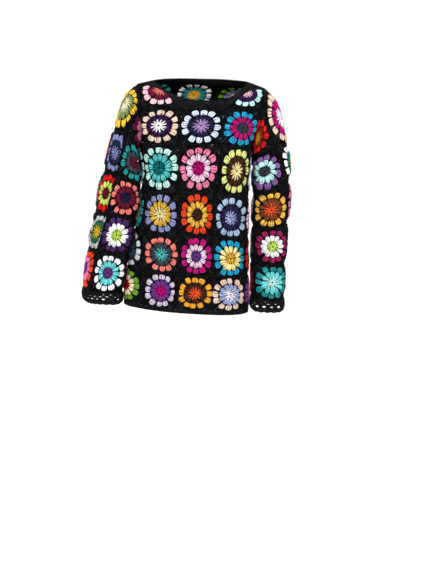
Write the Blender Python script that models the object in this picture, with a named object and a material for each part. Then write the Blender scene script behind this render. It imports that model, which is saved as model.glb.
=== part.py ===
"""Patchwork sweater of crocheted squares, in the form it has when worn.

Metres, +Z up, the front faces -Y. The origin is between the shoulders, level with
the crest of the neckband, where the wearer's shoulders carry the garment. Left and
right are the wearer's: the wearer's right is at -X.

The body is eight columns of squares: three in front, one at each side and three at
the back. Rows are counted from row 0 at the shoulders to row 5 at the hem. A place on
the body is (turn, row): turn counts columns from the front middle, growing towards
the wearer's left, and 4 is the back middle. A place on a sleeve is (turn, row) too:
turn 0 is its outer side, 1 its front, 2 its inner side and 3 its back.
"""
import math

import bmesh
import bpy
import numpy as np

# ---------------------------------------------------------------- driving sizes
WALL = 0.0024            # thickness of the crochet
SEAM_GAP = 0.0003        # pieces lie this far apart at a seam
SQUARE = 0.12            # side of one square before it hangs and stretches

BODY_ROWS = 5            # whole rows below the shoulder row
SLEEVE_ROWS = 5
CELLS = 4                # facets along one side of a square
HALF_CELLS = 2 * CELLS   # facets along a half square's cut side
# A rim is split from its end that lies further along this direction, so that the
# rims on both sides of a seam are split alike and stay parallel.
RIM_GUIDE = np.array((0.37, 0.21, 1.0))

HEM_DEPTH = 0.013
CUFF_DEPTH = 0.048
CUFF_PUFF = 0.006        # how far the lace cuff swells out
HEM_STATIONS = 64
CUFF_STATIONS = 28
NECK_STATIONS = 24       # along the front half, and along the back half

BODY_PUFF = 0.0022       # how far a square swells out between its seams
SLEEVE_PUFF = 0.0045
PINCH_WAVE = 0.010       # depth of the creases inside the elbow and underarm

# ---------------------------------------------------------------- the body's rings
# One ring at each seam between rows, from the top of row 1 to the hem seam.
# tilt: how much higher the wearer's left is; dip: how far the front's outer columns
# hang below its middle one; right, left, front, back: half sizes of the section;
# squareness: 2 is an ellipse; *_square: width of one column there.
RING_COLUMNS = ("height", "tilt", "dip", "right", "left", "front", "back",
                "squareness", "right_square", "left_square", "side_square")
BODY_RINGS = (
    (-0.083, 0.012, -0.002, 0.205, 0.203, 0.109, 0.096, 3.4, 0.1255, 0.1245, 0.150),
    (-0.186, 0.005, -0.004, 0.175, 0.172, 0.117, 0.104, 3.2, 0.1240, 0.1210, 0.126),
    (-0.327, -0.001, -0.007, 0.161, 0.174, 0.114, 0.106, 3.0, 0.1180, 0.1150, 0.122),
    (-0.459, -0.006, -0.006, 0.175, 0.184, 0.109, 0.104, 2.6, 0.1120, 0.1140, 0.124),
    (-0.583, -0.011, -0.001, 0.193, 0.194, 0.107, 0.100, 2.3, 0.1080, 0.1170, 0.128),
    (-0.695, -0.014, 0.000, 0.204, 0.206, 0.103, 0.098, 2.2, 0.1090, 0.1210, 0.130),
)
# The shoulder line: where front and back meet at the armhole, and the neck's crest.
SHOULDER_TIP = {-1: (-0.186, 0.002, -0.022), 1: (0.214, 0.002, -0.004)}
SHOULDER_RISE = 0.016    # the line climbs this much from its tip towards the neck
BACK_NECK_SETBACK = 0.062    # how far behind the shoulder line the back's top edge is
YOKE_SWELL = 0.10        # how strongly the yoke rounds over the chest and the back

# The neck's edge
NECK_CENTRE = 0.010
NECK_HALF_WIDTH = 0.147
NECK_CREST = 0.004
NECK_CREST_TILT = 0.009  # the wearer's left crest is this much above the middle
NECK_FRONT_DROP = 0.062
NECK_FRONT_REACH = 0.088
NECK_TIP_REACH = 0.10    # share of the front over which the band clears the tip
NECK_BACK_REACH = 0.052
NECK_BACK_RISE = 0.012

# ---------------------------------------------------------------- the sleeves
# One ring at each seam between rows, below the armhole. out: distance of the ring's
# centre from the middle plane; back: its place behind the shoulder line; lean: how
# far its outer side is above its centre; forward: degrees that the section is turned,
# outer side to the front; slip: how many columns the squares have crept round to the
# front.
SLEEVE_COLUMNS = ("out", "back", "height", "half_width", "half_depth", "lean",
                  "forward", "slip")
SLEEVE_RINGS = {
    -1: ((0.2125, 0.000, -0.200, 0.0335, 0.0790, 0.050, 0, 0.16),
         (0.2225, 0.002, -0.306, 0.0510, 0.0800, 0.022, 2, 0.09),
         (0.2390, 0.002, -0.419, 0.0560, 0.0780, 0.010, 2, 0.05),
         (0.2610, 0.000, -0.535, 0.0550, 0.0770, 0.005, 2, 0.04),
         (0.2760, -0.004, -0.650, 0.0560, 0.0760, 0.002, 1, 0.02)),
    1: ((0.2430, 0.000, -0.204, 0.0500, 0.0740, 0.052, 8, 0.26),
        (0.2580, 0.004, -0.312, 0.0560, 0.0760, 0.024, 10, 0.15),
        (0.2640, 0.004, -0.430, 0.0570, 0.0750, 0.010, 12, 0.07),
        (0.2690, 0.000, -0.550, 0.0570, 0.0750, 0.005, 13, 0.02),
        (0.2740, -0.004, -0.668, 0.0550, 0.0760, 0.002, 13, 0.00)),
}
SLEEVE_SQUARENESS = 3.2
# How the sleeve first leaves the armhole, outward and upward, at its outer side,
# front, inner side and back.
SLEEVE_HEAD_OUT = (0.090, 0.020, 0.050, 0.018)
SLEEVE_HEAD_UP = (0.0, 0.0, 0.042, 0.0)
ARMHOLE_SLIP = 0.10      # columns by which the squares have crept at the armhole
LOOP_EASING = 9          # rounds of easing at the armhole's lower corners
EASED_ROWS = (0.3, 0.9)  # the easing comes in between these rows
UNDERARM_CREASES = ((1.35, 1.0), (2.2, 0.7), (3.1, 0.5))     # row, share of the wave

SIDE_NAMES = {-1: "right", 1: "left"}
FRONT_NAMES = {-1: "right", 0: "middle", 1: "left"}

# Yarn colours for the solids: black crochet and the outer round of each square.
BLACK = (0.012, 0.012, 0.014)
PETAL_COLOURS = {
    "peach": (0.80, 0.46, 0.31), "ice": (0.62, 0.72, 0.86), "cerulean": (0.0, 0.36, 0.62),
    "mint": (0.42, 0.74, 0.66), "rose": (0.83, 0.16, 0.31), "lemon": (0.72, 0.76, 0.16),
    "periwinkle": (0.22, 0.29, 0.66), "orange_red": (0.78, 0.10, 0.02),
    "sky": (0.31, 0.50, 0.78), "coral": (0.80, 0.19, 0.13), "magenta": (0.56, 0.02, 0.26),
    "lilac": (0.56, 0.45, 0.75), "amber": (0.85, 0.42, 0.03), "pink": (0.85, 0.52, 0.60),
    "aqua": (0.47, 0.78, 0.76), "silver": (0.56, 0.60, 0.64), "green": (0.20, 0.42, 0.06),
}


# ---------------------------------------------------------------- curves and rings
def smooth_row(table, place):
    """Read a table of rings between its rows, along a smooth curve."""
    table = np.asarray(table, float)
    last = len(table) - 1
    low = min(max(int(math.floor(place)), 0), last - 1)
    f = place - low
    ends = np.vstack([2 * table[0] - table[1], table, 2 * table[-1] - table[-2]])
    a, b, c, d = ends[low:low + 4]
    return 0.5 * (2 * b + (c - a) * f + (2 * a - 5 * b + 4 * c - d) * f ** 2
                  + (3 * b - a - 3 * c + d) * f ** 3)


def rounded_section(half_x, front, back, squareness, steps=181):
    """Half of a closed section, from its front to its back, with running lengths."""
    angle = np.linspace(0.0, math.pi, steps)
    power = 2.0 / squareness
    x = half_x * np.abs(np.sin(angle)) ** power
    cosine = np.cos(angle)
    reach = np.where(cosine > 0, front, back)
    y = -np.sign(cosine) * np.abs(cosine) ** power * reach
    length = np.r_[0.0, np.cumsum(np.hypot(np.diff(x), np.diff(y)))]
    return x, y, length


def body_ring(row):
    """The section of the body at a row, as a function of turn."""
    ring = dict(zip(RING_COLUMNS, smooth_row(BODY_RINGS, row - 1)))
    halves = {}
    for side, name in SIDE_NAMES.items():
        x, y, length = rounded_section(ring[name], ring["front"], ring["back"],
                                       ring["squareness"])
        front_edge = 1.5 * ring[name + "_square"]
        back_edge = front_edge + ring["side_square"]
        turn = np.interp(length, (0, front_edge, back_edge, length[-1]), (0, 1.5, 2.5, 4))
        halves[side] = turn, side * x, y
    return ring, halves


def body_point(turn, row):
    """The middle of the body's wall at a turn and a row from 1 downward."""
    turn = (turn + 4) % 8 - 4
    ring, halves = body_ring(row)
    known, xs, ys = halves[-1 if turn < 0 else 1]
    x = np.interp(abs(turn), known, xs)
    y = np.interp(abs(turn), known, ys)
    across = min(max(x / SQUARE, -1.4), 1.4)
    front_share = max(-y, 0) / ring["front"]
    z = ring["height"] + across * ring["tilt"] / 2 + across ** 2 * front_share * ring["dip"]
    return np.array((x, y, z))


def shoulder_point(turn):
    """The shoulder line: the top edge of the back, and the front's line above it."""
    side = -1 if turn < 0 else 1
    tip = np.array(SHOULDER_TIP[side])
    if abs(turn) <= 2:
        share = abs(turn) / 1.5
        setback = -0.030 * (1 - share ** 2)
    else:
        share = (4 - abs(turn)) / 1.5
        setback = BACK_NECK_SETBACK * (1 - share ** 2)
    middle = (SHOULDER_TIP[-1][2] + SHOULDER_TIP[1][2]) / 2 + SHOULDER_RISE
    z = middle + (tip[2] - middle) * share ** 2
    x = NECK_CENTRE * (1 - share) + tip[0] * share
    return np.array((x, tip[1] + setback, z))


def curve_between(start, end, leave, arrive, f):
    """A smooth curve from start to end with the given directions at its ends."""
    return ((2 * f ** 3 - 3 * f ** 2 + 1) * start + (f ** 3 - 2 * f ** 2 + f) * leave
            + (3 * f ** 2 - 2 * f ** 3) * end + (f ** 3 - f ** 2) * arrive)


def torso_point(turn, row):
    """The middle of the wall anywhere on the body, the shoulder row too."""
    turn = (turn + 4) % 8 - 4
    if row >= 1:
        return body_point(turn, row)
    below = body_point(turn, 1.0)
    downward = (body_point(turn, 1.2) - below) / 0.2
    top = shoulder_point(turn)
    outward = np.array((0.0, -1.0 if abs(turn) < 2 else 1.0, -0.35))
    return curve_between(top, below, outward * YOKE_SWELL, downward, max(row, -0.2))


def puff(turn, row, amount):
    """How far a square swells out at a place: most in its middle, none at its seams."""
    across = turn - math.floor(turn + 0.5)
    down = row - math.floor(row) - 0.5
    return amount * math.cos(math.pi * across) * math.cos(math.pi * down)


def surface_normal(point, turn, row, step=0.05):
    """The outward direction of a wall given by its point function."""
    along = point(turn + step, row) - point(turn - step, row)
    down = point(turn, row + step) - point(turn, row - step)
    normal = np.cross(down, along)
    return normal / np.linalg.norm(normal)


# ---------------------------------------------------------------- armhole and sleeve
def armhole_loop(side):
    """The armhole's edge, from the shoulder tip down the front and up the back."""
    lift = WALL / 2 + SEAM_GAP
    rows = np.linspace(0.0, 2.0, 33)
    front = [(1.5, row) for row in rows]
    under = [(turn, 2.0) for turn in np.linspace(1.5, 2.5, 17)[1:-1]]
    back = [(2.5, row) for row in rows[::-1]]
    points = []
    for turn, row in front + under + back:
        here = torso_point(side * turn, row)
        if row < 2.0:
            inner = torso_point(side * (turn + (-0.1 if turn < 2 else 0.1)), row)
        else:
            inner = torso_point(side * turn, row + 0.1)
        away = here - inner
        clear = lift if row < 2.0 else lift + WALL * 0.75
        points.append(here + away / np.linalg.norm(away) * clear)
    points[0] = points[-1] = (points[0] + points[-1]) / 2 + np.array((0, 0, lift))
    points = np.array(points)
    eased = points
    for _ in range(LOOP_EASING):
        loop = eased[:-1]
        loop = (np.roll(loop, 1, axis=0) + 2 * loop + np.roll(loop, -1, axis=0)) / 4
        eased = np.vstack([loop, loop[:1]])
    down = np.array([row for _, row in front + under + back])
    share = np.interp(down, EASED_ROWS, (0, 1))[:, None]
    points = points * (1 - share) + eased * share
    steps = np.linalg.norm(np.diff(points, axis=0), axis=1)
    length = np.r_[0.0, np.cumsum(steps)]
    return length / length[-1] * 4, points


ARMHOLES = {side: armhole_loop(side) for side in SIDE_NAMES}


def armhole_point(side, turn):
    known, points = ARMHOLES[side]
    return np.array([np.interp(turn % 4, known, points[:, axis]) for axis in range(3)])


def sleeve_ring_point(side, turn, row):
    """A point of the sleeve's section at a row from 1 downward."""
    ring = dict(zip(SLEEVE_COLUMNS, smooth_row(SLEEVE_RINGS[side], row - 1)))
    known, outs, fronts = SLEEVE_SECTION[side](row)
    place = (turn + ring["slip"]) % 4
    out = np.interp(place, known, outs)
    front = np.interp(place, known, fronts)
    angle = math.radians(ring["forward"])
    out, front = (out * math.cos(angle) - front * math.sin(angle),
                  out * math.sin(angle) + front * math.cos(angle))
    z = ring["height"] + ring["lean"] * out / ring["half_width"]
    return np.array((side * (ring["out"] + out), ring["back"] - front, z))


def sleeve_section(side):
    """Sections of one sleeve by row, each as out and front distances by turn."""
    made = {}

    def at(row):
        key = round(row, 6)
        if key not in made:
            ring = dict(zip(SLEEVE_COLUMNS, smooth_row(SLEEVE_RINGS[side], row - 1)))
            angle = np.linspace(0.0, 2 * math.pi, 361)
            power = 2.0 / SLEEVE_SQUARENESS
            cosine, sine = np.cos(angle), np.sin(angle)
            out = ring["half_width"] * np.sign(cosine) * np.abs(cosine) ** power
            front = ring["half_depth"] * np.sign(sine) * np.abs(sine) ** power
            length = np.r_[0.0, np.cumsum(np.hypot(np.diff(out), np.diff(front)))]
            made[key] = length / length[-1] * 4, out, front
        return made[key]
    return at


SLEEVE_SECTION = {side: sleeve_section(side) for side in SIDE_NAMES}


def sleeve_point(side, turn, row):
    """The middle of the sleeve's wall, from the armhole at row 0 to the cuff seam."""
    if row >= 1:
        return sleeve_ring_point(side, turn, row)
    start = armhole_point(side, turn + ARMHOLE_SLIP)
    end = sleeve_ring_point(side, turn, 1.0)
    arrive = (sleeve_ring_point(side, turn, 1.2) - end) / 0.2
    run = np.interp(turn % 4, range(5), SLEEVE_HEAD_OUT + SLEEVE_HEAD_OUT[:1])
    rise = np.interp(turn % 4, range(5), SLEEVE_HEAD_UP + SLEEVE_HEAD_UP[:1])
    leave = (end - start) * 0.6 + np.array((side * run, 0.0, rise))
    return curve_between(start, end, leave, arrive, max(row, -0.2))


def sleeve_relief(turn, row):
    """Swelling of the squares, and the creases that gather on the inner side."""
    inner = max(math.cos(math.pi / 2 * (turn - 2)), 0.0) ** 2
    swell = puff(turn, row, SLEEVE_PUFF) * (1 - 0.85 * inner)
    for middle, share in UNDERARM_CREASES:
        swell -= PINCH_WAVE * share * inner * math.exp(-((row - middle) / 0.16) ** 2)
    return swell


# ---------------------------------------------------------------- making the solids
def piece_material(name, colour):
    material = bpy.data.materials.new(name)
    material.use_nodes = True
    shader = material.node_tree.nodes["Principled BSDF"]
    shader.inputs["Base Color"].default_value = (*colour, 1.0)
    shader.inputs["Roughness"].default_value = 0.85
    shader.inputs["Metallic"].default_value = 0.0
    return material


def cloth_wall(name, collection, colour, points, normals, faces):
    """A closed wall of even thickness about a sheet of points.

    The two faces are the sheet moved out and in along the surface's own direction,
    so that the edges of neighbouring pieces stay parallel and a seam's gap even."""
    count = len(points)
    points = np.asarray(points)
    offsets = np.asarray(normals) * WALL / 2
    mesh = bpy.data.meshes.new(name)
    shape = bmesh.new()
    verts = [shape.verts.new(p) for p in np.vstack([points + offsets, points - offsets])]
    used = {}
    for face in faces:
        shape.faces.new([verts[i] for i in face])
        shape.faces.new([verts[i + count] for i in reversed(face)])
        for a, b in zip(face, face[1:] + face[:1]):
            used[(a, b)] = True
    for a, b in used:
        if (b, a) in used:
            continue
        if points[a] @ RIM_GUIDE > points[b] @ RIM_GUIDE:
            shape.faces.new([verts[b], verts[a], verts[b + count]])
            shape.faces.new([verts[a], verts[a + count], verts[b + count]])
        else:
            shape.faces.new([verts[b], verts[a], verts[a + count]])
            shape.faces.new([verts[b], verts[a + count], verts[b + count]])
    bmesh.ops.recalc_face_normals(shape, faces=shape.faces)
    shape.to_mesh(mesh)
    shape.free()
    mesh.shade_smooth()
    mesh.set_sharp_from_angle(angle=math.radians(40))
    piece = bpy.data.objects.new(name, mesh)
    collection.objects.link(piece)
    mesh.materials.append(piece_material(name, colour))
    return piece


def grid_faces(across, down, closed=False):
    """Faces of a grid of points kept row by row, each row across points long."""
    faces = []
    for j in range(down - 1):
        for i in range(across if closed else across - 1):
            k = (i + 1) % across
            faces.append([j * across + i, j * across + k,
                          (j + 1) * across + k, (j + 1) * across + i])
    return faces


def cloth_panel(name, collection, colour, point, relief, turns, rows, cells):
    """A wall over a range of turns and rows of a point function."""
    gap = SEAM_GAP / 2 / SQUARE
    turn_places = np.linspace(turns[0] + gap, turns[1] - gap, cells[0] + 1)
    row_places = np.linspace(rows[0] + gap, rows[1] - gap, cells[1] + 1)
    points, normals = [], []
    for row in row_places:
        for turn in turn_places:
            normal = surface_normal(point, turn, row)
            points.append(point(turn, row) + normal * relief(turn, row))
            normals.append(normal)
    faces = grid_faces(len(turn_places), len(row_places))
    return cloth_wall(name, collection, colour, points, normals, faces)


def half_square(name, collection, colour, side):
    """A square cut along its diagonal, between the armhole, row 1 and the neckband."""
    gap = SEAM_GAP / 2 / SQUARE
    points, normals, starts = [], [], []
    for j in range(HALF_CELLS + 1):
        row = gap * 4 + (1 - 5 * gap) * j / HALF_CELLS
        neck_edge = 1.5 - row + gap * 2.5
        starts.append(len(points))
        for i in range(j + 1):
            turn = neck_edge + (1.5 - gap - neck_edge) * (i / j if j else 1.0)
            turn *= side
            normal = surface_normal(torso_point, turn, row)
            points.append(torso_point(turn, row) + normal * puff(turn, row, BODY_PUFF) / 2)
            normals.append(normal)
    for i in range(starts[-1] + 1, len(points), 2):     # keep to the facets of row 1
        points[i] = (points[i - 1] + points[i + 1]) / 2
        normals[i] = (normals[i - 1] + normals[i + 1]) / 2
    faces = []
    for j in range(HALF_CELLS):
        for i in range(j + 1):
            faces.append([starts[j] + i, starts[j + 1] + i, starts[j + 1] + i + 1])
            if i < j:
                faces.append([starts[j] + i, starts[j + 1] + i + 1, starts[j] + i + 1])
    return cloth_wall(name, collection, colour, points, normals, faces)


# ---------------------------------------------------------------- bands
def neck_seam(station):
    """Where the neckband is worked on, and the way that edge's wall faces there.

    Station 0 to 1 is the front, from the wearer's right, and 1 to 2 is the back."""
    gap = SEAM_GAP / SQUARE
    if station <= 1:
        turn = -1.5 + 3 * station
        row = min(1.0, 1.5 - abs(turn)) - gap
    else:
        turn = 2.5 + 3 * (station - 1)
        row = -gap
    facing = surface_normal(torso_point, turn, row)
    if station in (0, 1):
        facing = facing + surface_normal(torso_point, 4 - turn, row)
    facing /= np.linalg.norm(facing)
    from_tip = abs(station - round(station))
    lift = (WALL + SEAM_GAP) * max(1 - from_tip / NECK_TIP_REACH, 0)
    return torso_point(turn, row) + np.array((0, 0, lift)), facing


def neck_edge_point(station):
    """The neck's open edge, from the wearer's right crest round the front."""
    if station <= 1:
        share = -math.cos(math.pi * station)
        reach = -NECK_FRONT_REACH * (1 - abs(share) ** 2.4)
        z = NECK_CREST - NECK_FRONT_DROP * (1 - abs(share) ** 2.7)
    else:
        share = math.cos(math.pi * (station - 1))
        reach = NECK_BACK_REACH * (1 - abs(share) ** 2.4)
        z = NECK_CREST + NECK_BACK_RISE * (1 - abs(share) ** 3)
    x = NECK_CENTRE + NECK_HALF_WIDTH * share
    return np.array((x, 0.004 + reach, z + NECK_CREST_TILT * share))


def neckband(collection):
    """The dense band worked round the neck, on the half squares and the back."""
    levels = 3
    stations = np.r_[np.linspace(0, 1, NECK_STATIONS + 1)[:-1],
                     np.linspace(1, 2, NECK_STATIONS + 1)[:-1]]
    seam, facing = (np.array(part) for part in zip(*(neck_seam(s) for s in stations)))
    edge = np.array([neck_edge_point(s) for s in stations])
    around = np.roll(seam + edge, -1, axis=0) - np.roll(seam + edge, 1, axis=0)
    normal = np.cross(around, edge - seam)
    normal /= np.linalg.norm(normal, axis=1)[:, None]
    points, normals = [], []
    for level in range(levels + 1):
        share = level / levels
        swell = 0.003 * math.sin(math.pi * share)
        points.extend(seam + (edge - seam) * share + normal * swell)
        normals.extend(facing if level == 0 else normal)
    faces = grid_faces(len(stations), levels + 1, closed=True)
    return cloth_wall("neckband", collection, BLACK, points, normals, faces)


def hem_band(collection):
    """The narrow band below row 5."""
    turns = [8 * i / HEM_STATIONS for i in range(HEM_STATIONS)]
    seam_row = BODY_ROWS + 1
    points, normals = [], []
    for drop in (SEAM_GAP, HEM_DEPTH):
        for turn in turns:
            normal = surface_normal(torso_point, turn, seam_row - 0.02)
            points.append(torso_point(turn, seam_row) - np.array((0, 0, drop)))
            normals.append(normal)
    faces = grid_faces(len(turns), 2, closed=True)
    return cloth_wall("hem_band", collection, BLACK, points, normals, faces)


def cuff_point(side, turn, row):
    """The lace cuff: row 0 at its seam with the sleeve, 1 at its scalloped edge."""
    seam = sleeve_point(side, turn, SLEEVE_ROWS)
    centre = sum(sleeve_point(side, t, SLEEVE_ROWS) for t in range(4)) / 4
    out = seam - centre
    out = out / np.linalg.norm(out)
    swell = CUFF_PUFF * math.sin(math.pi * min(max(row, 0), 1)) - 0.003 * row
    return seam + out * swell - np.array((0, 0, row * CUFF_DEPTH))


def lace_cuff(collection, side):
    """The cuff's wall. Its holes are left to the surface."""
    turns = [4 * i / CUFF_STATIONS for i in range(CUFF_STATIONS)]
    points, normals = [], []
    for row in (SEAM_GAP / CUFF_DEPTH, 0.5, 1.0):
        for turn in turns:
            normal = surface_normal(lambda t, r: cuff_point(side, t, r), turn, row)
            points.append(cuff_point(side, turn, row))
            normals.append(normal * side)
    faces = grid_faces(len(turns), 3, closed=True)
    name = "cuff_" + SIDE_NAMES[side]
    return cloth_wall(name, collection, BLACK, points, normals, faces)


# ---------------------------------------------------------------- the garment
def petal_colour(*key):
    """Neighbouring squares are told apart by the yarn of their outer round."""
    names = sorted(PETAL_COLOURS)
    return PETAL_COLOURS[names[sum(k * w for k, w in zip(key, (5, 7, 3))) % len(names)]]


def body_relief(turn, row):
    return puff(turn, row, BODY_PUFF)


def build_body(collection):
    for row in range(1, BODY_ROWS + 1):
        for column, name in FRONT_NAMES.items():
            cloth_panel(f"front_{name}_row_{row}", collection, petal_colour(column, row, 0),
                        torso_point, body_relief, (column - 0.5, column + 0.5),
                        (row, row + 1), (CELLS, CELLS))
    for row in range(0, BODY_ROWS + 1):
        for column, name in FRONT_NAMES.items():
            middle = 4 - column
            cloth_panel(f"back_{name}_row_{row}", collection, petal_colour(column, row, 4),
                        torso_point, body_relief, (middle - 0.5, middle + 0.5),
                        (row, row + 1), (CELLS, CELLS))
    for row in range(2, BODY_ROWS + 1):
        for side, name in SIDE_NAMES.items():
            cloth_panel(f"side_{name}_row_{row}", collection, petal_colour(side, row, 8),
                        torso_point, body_relief, (2 * side - 0.5, 2 * side + 0.5),
                        (row, row + 1), (CELLS, CELLS))
    for side, name in SIDE_NAMES.items():
        half_square(f"front_{name}_half_square", collection, petal_colour(side, 0, 0), side)


def build_sleeve(collection, side):
    places = {"outer": 0, "front": 1, "inner": 2, "back": 3}
    for name, middle in places.items():
        cloth_panel(f"sleeve_{SIDE_NAMES[side]}_{name}_column", collection,
                    petal_colour(side, middle, 12),
                    lambda turn, row: sleeve_point(side, side * -turn, row),
                    lambda turn, row: sleeve_relief(side * -turn % 4, row),
                    (-side * middle - 0.5, -side * middle + 0.5), (0, SLEEVE_ROWS),
                    (CELLS, CELLS * SLEEVE_ROWS))


def build_sweater():
    for old in list(bpy.data.objects):
        bpy.data.objects.remove(old, do_unlink=True)
    collection = bpy.data.collections.new("patchwork_sweater")
    bpy.context.scene.collection.children.link(collection)
    build_body(collection)
    neckband(collection)
    hem_band(collection)
    for side in SIDE_NAMES:
        build_sleeve(collection, side)
        lace_cuff(collection, side)


build_sweater()
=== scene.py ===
"""Looks of the patchwork sweater: crocheted squares, bands and lace cuffs on its worn form.

Metres, +Z up, the front faces -Y. Left and right are the wearer's. A place on the body is
(turn, row): turn counts columns from the front middle towards the wearer's left, and row
counts squares down from the shoulders. On a sleeve turn 0 is the outer side, 1 the front,
2 the inner side and 3 the back.
"""
import math
from functools import partial

import bpy
import numpy as np
from mathutils import Matrix


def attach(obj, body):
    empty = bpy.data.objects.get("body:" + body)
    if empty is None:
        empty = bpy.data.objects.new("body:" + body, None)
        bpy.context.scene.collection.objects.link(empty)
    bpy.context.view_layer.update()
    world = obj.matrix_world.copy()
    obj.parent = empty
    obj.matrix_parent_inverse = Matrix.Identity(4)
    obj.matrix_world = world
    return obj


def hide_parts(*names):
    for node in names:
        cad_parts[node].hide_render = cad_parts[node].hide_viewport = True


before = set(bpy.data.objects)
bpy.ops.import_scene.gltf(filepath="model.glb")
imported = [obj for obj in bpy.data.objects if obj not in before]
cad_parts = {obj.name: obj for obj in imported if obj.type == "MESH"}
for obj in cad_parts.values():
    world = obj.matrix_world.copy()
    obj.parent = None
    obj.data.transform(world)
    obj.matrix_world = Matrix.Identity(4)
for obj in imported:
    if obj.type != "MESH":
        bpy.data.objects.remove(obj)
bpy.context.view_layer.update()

rng = np.random.default_rng(12)

# ---------------------------------------------------------------- sizes of the form
WALL = 0.0024
SEAM_GAP = 0.0003
SQUARE = 0.12
BODY_ROWS, SLEEVE_ROWS = 5, 5
HEM_DEPTH = 0.013
CUFF_DEPTH = 0.048
CUFF_DROPS = {-1: 0.040, 1: 0.046}           # how far down each cuff hangs
CUFF_PUFF, CUFF_TAPER = 0.006, 0.003         # its swell, and how it narrows to its edge
CUFF_CURL, CUFF_CURL_FROM = 0.045, 0.6       # how its edge curls in, and from which level
BODY_PUFF, SLEEVE_PUFF = 0.0045, 0.0060      # how far squares swell in their middles
INNER_FLATNESS = 0.85    # how much of its swell a sleeve loses on its inner side
CREASE_DEPTH, CREASE_WIDTH = 0.010, 0.16     # of the creases below an underarm
FRONT_EDGE, SIDE_EDGE = 1.5, 2.5             # turns of the seams beside the side squares

RING_COLUMNS = ("height", "tilt", "dip", "right", "left", "front", "back",
                "squareness", "right_square", "left_square", "side_square")
BODY_RINGS = (
    (-0.083, 0.012, -0.002, 0.205, 0.203, 0.109, 0.096, 3.4, 0.1255, 0.1245, 0.150),
    (-0.186, 0.005, -0.004, 0.175, 0.172, 0.117, 0.104, 3.2, 0.1240, 0.1210, 0.126),
    (-0.327, -0.001, -0.007, 0.161, 0.174, 0.114, 0.106, 3.0, 0.1180, 0.1150, 0.122),
    (-0.459, -0.006, -0.006, 0.175, 0.184, 0.109, 0.104, 2.6, 0.1120, 0.1140, 0.124),
    (-0.583, -0.011, -0.001, 0.193, 0.194, 0.107, 0.100, 2.3, 0.1080, 0.1170, 0.128),
    (-0.695, -0.014, 0.000, 0.204, 0.206, 0.103, 0.098, 2.2, 0.1090, 0.1210, 0.130),
)
SHOULDER_TIP = {-1: (-0.186, 0.002, -0.022), 1: (0.214, 0.002, -0.004)}
SHOULDER_RISE = 0.016
FRONT_NECK_SETBACK, BACK_NECK_SETBACK = -0.030, 0.062
YOKE_SWELL, YOKE_SLOPE = 0.10, 0.35

NECK_CENTRE, NECK_HALF_WIDTH = 0.010, 0.147
NECK_CREST, NECK_CREST_TILT = 0.004, 0.009
NECK_FRONT_DROP, NECK_FRONT_REACH = 0.062, 0.088
NECK_TIP_REACH = 0.10
NECK_BACK_REACH, NECK_BACK_RISE = 0.052, 0.012
NECK_SETBACK = 0.004
NECK_CURVE, NECK_DROP_CURVE, NECK_RISE_CURVE = 2.4, 2.7, 3    # how full its outline is

SLEEVE_COLUMNS = ("out", "back", "height", "half_width", "half_depth", "lean",
                  "forward", "slip")
SLEEVE_RINGS = {
    -1: ((0.2125, 0.000, -0.200, 0.0335, 0.0790, 0.050, 0, 0.16),
         (0.2225, 0.002, -0.306, 0.0510, 0.0800, 0.022, 2, 0.09),
         (0.2390, 0.002, -0.419, 0.0560, 0.0780, 0.010, 2, 0.05),
         (0.2610, 0.000, -0.535, 0.0550, 0.0770, 0.005, 2, 0.04),
         (0.2760, -0.004, -0.650, 0.0560, 0.0760, 0.002, 1, 0.02)),
    1: ((0.2430, 0.000, -0.204, 0.0500, 0.0740, 0.052, 8, 0.26),
        (0.2580, 0.004, -0.312, 0.0560, 0.0760, 0.024, 10, 0.15),
        (0.2640, 0.004, -0.430, 0.0570, 0.0750, 0.010, 12, 0.07),
        (0.2690, 0.000, -0.550, 0.0570, 0.0750, 0.005, 13, 0.02),
        (0.2740, -0.004, -0.668, 0.0550, 0.0760, 0.002, 13, 0.00)),
}
SLEEVE_SQUARENESS = 3.2
SLEEVE_HEAD_OUT = (0.090, 0.020, 0.050, 0.018, 0.090)    # how its head starts, by turn
SLEEVE_HEAD_UP = (0.0, 0.0, 0.042, 0.0, 0.0)
SLEEVE_HEAD_EASE = 0.6
ARMHOLE_SLIP = 0.10      # how far the sleeve is turned in its armhole
LOOP_EASING = 9          # rounds of smoothing of the armhole's edge below EASED_ROWS
EASED_ROWS = (0.3, 0.9)
UNDERARM_CREASES = ((1.35, 1.0), (2.2, 0.7), (3.1, 0.5))      # rows, and shares of depth
SIDE_NAMES = {-1: "right", 1: "left"}
FORM_STEP = 1 / 24       # of a square, between the points that a form is read from
LOOK_AHEAD = 0.2         # rows between two readings that give a form's direction down
LOOK_ASIDE = 0.1         # rows or turns between two that give an armhole edge's direction
LOOK_UP = 0.1            # rows between two that give a sleeve's direction up
TILT_REACH = 1.4         # squares from the middle over which a row's tilt and dip grow
UNDERARM = 2.0           # the row where the side squares start
TOP_ROW = -0.2           # how far above its top a form can be read
# From which row folds show, and over how many rows they reach their full depth.
FOLDS_FROM, TORSO_FOLD_EASE, SLEEVE_FOLD_EASE = 0.15, 0.5, 0.6


# ---------------------------------------------------------------- the worn form
def smooth_row(table, place):
    """Read a table of rings between its rows, along a smooth curve."""
    table = np.asarray(table, float)
    last = len(table) - 1
    low = min(max(int(math.floor(place)), 0), last - 1)
    f = place - low
    ends = np.vstack([2 * table[0] - table[1], table, 2 * table[-1] - table[-2]])
    a, b, c, d = ends[low:low + 4]
    return 0.5 * (2 * b + (c - a) * f + (2 * a - 5 * b + 4 * c - d) * f ** 2
                  + (3 * b - a - 3 * c + d) * f ** 3)


def squared(wave, squareness):
    """A sine or cosine, filled out so that a round section grows squarer."""
    return np.sign(wave) * np.abs(wave) ** (2.0 / squareness)


def running_length(x, y):
    """How far along a line of points each of them lies."""
    return np.r_[0.0, np.cumsum(np.hypot(np.diff(x), np.diff(y)))]


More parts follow.
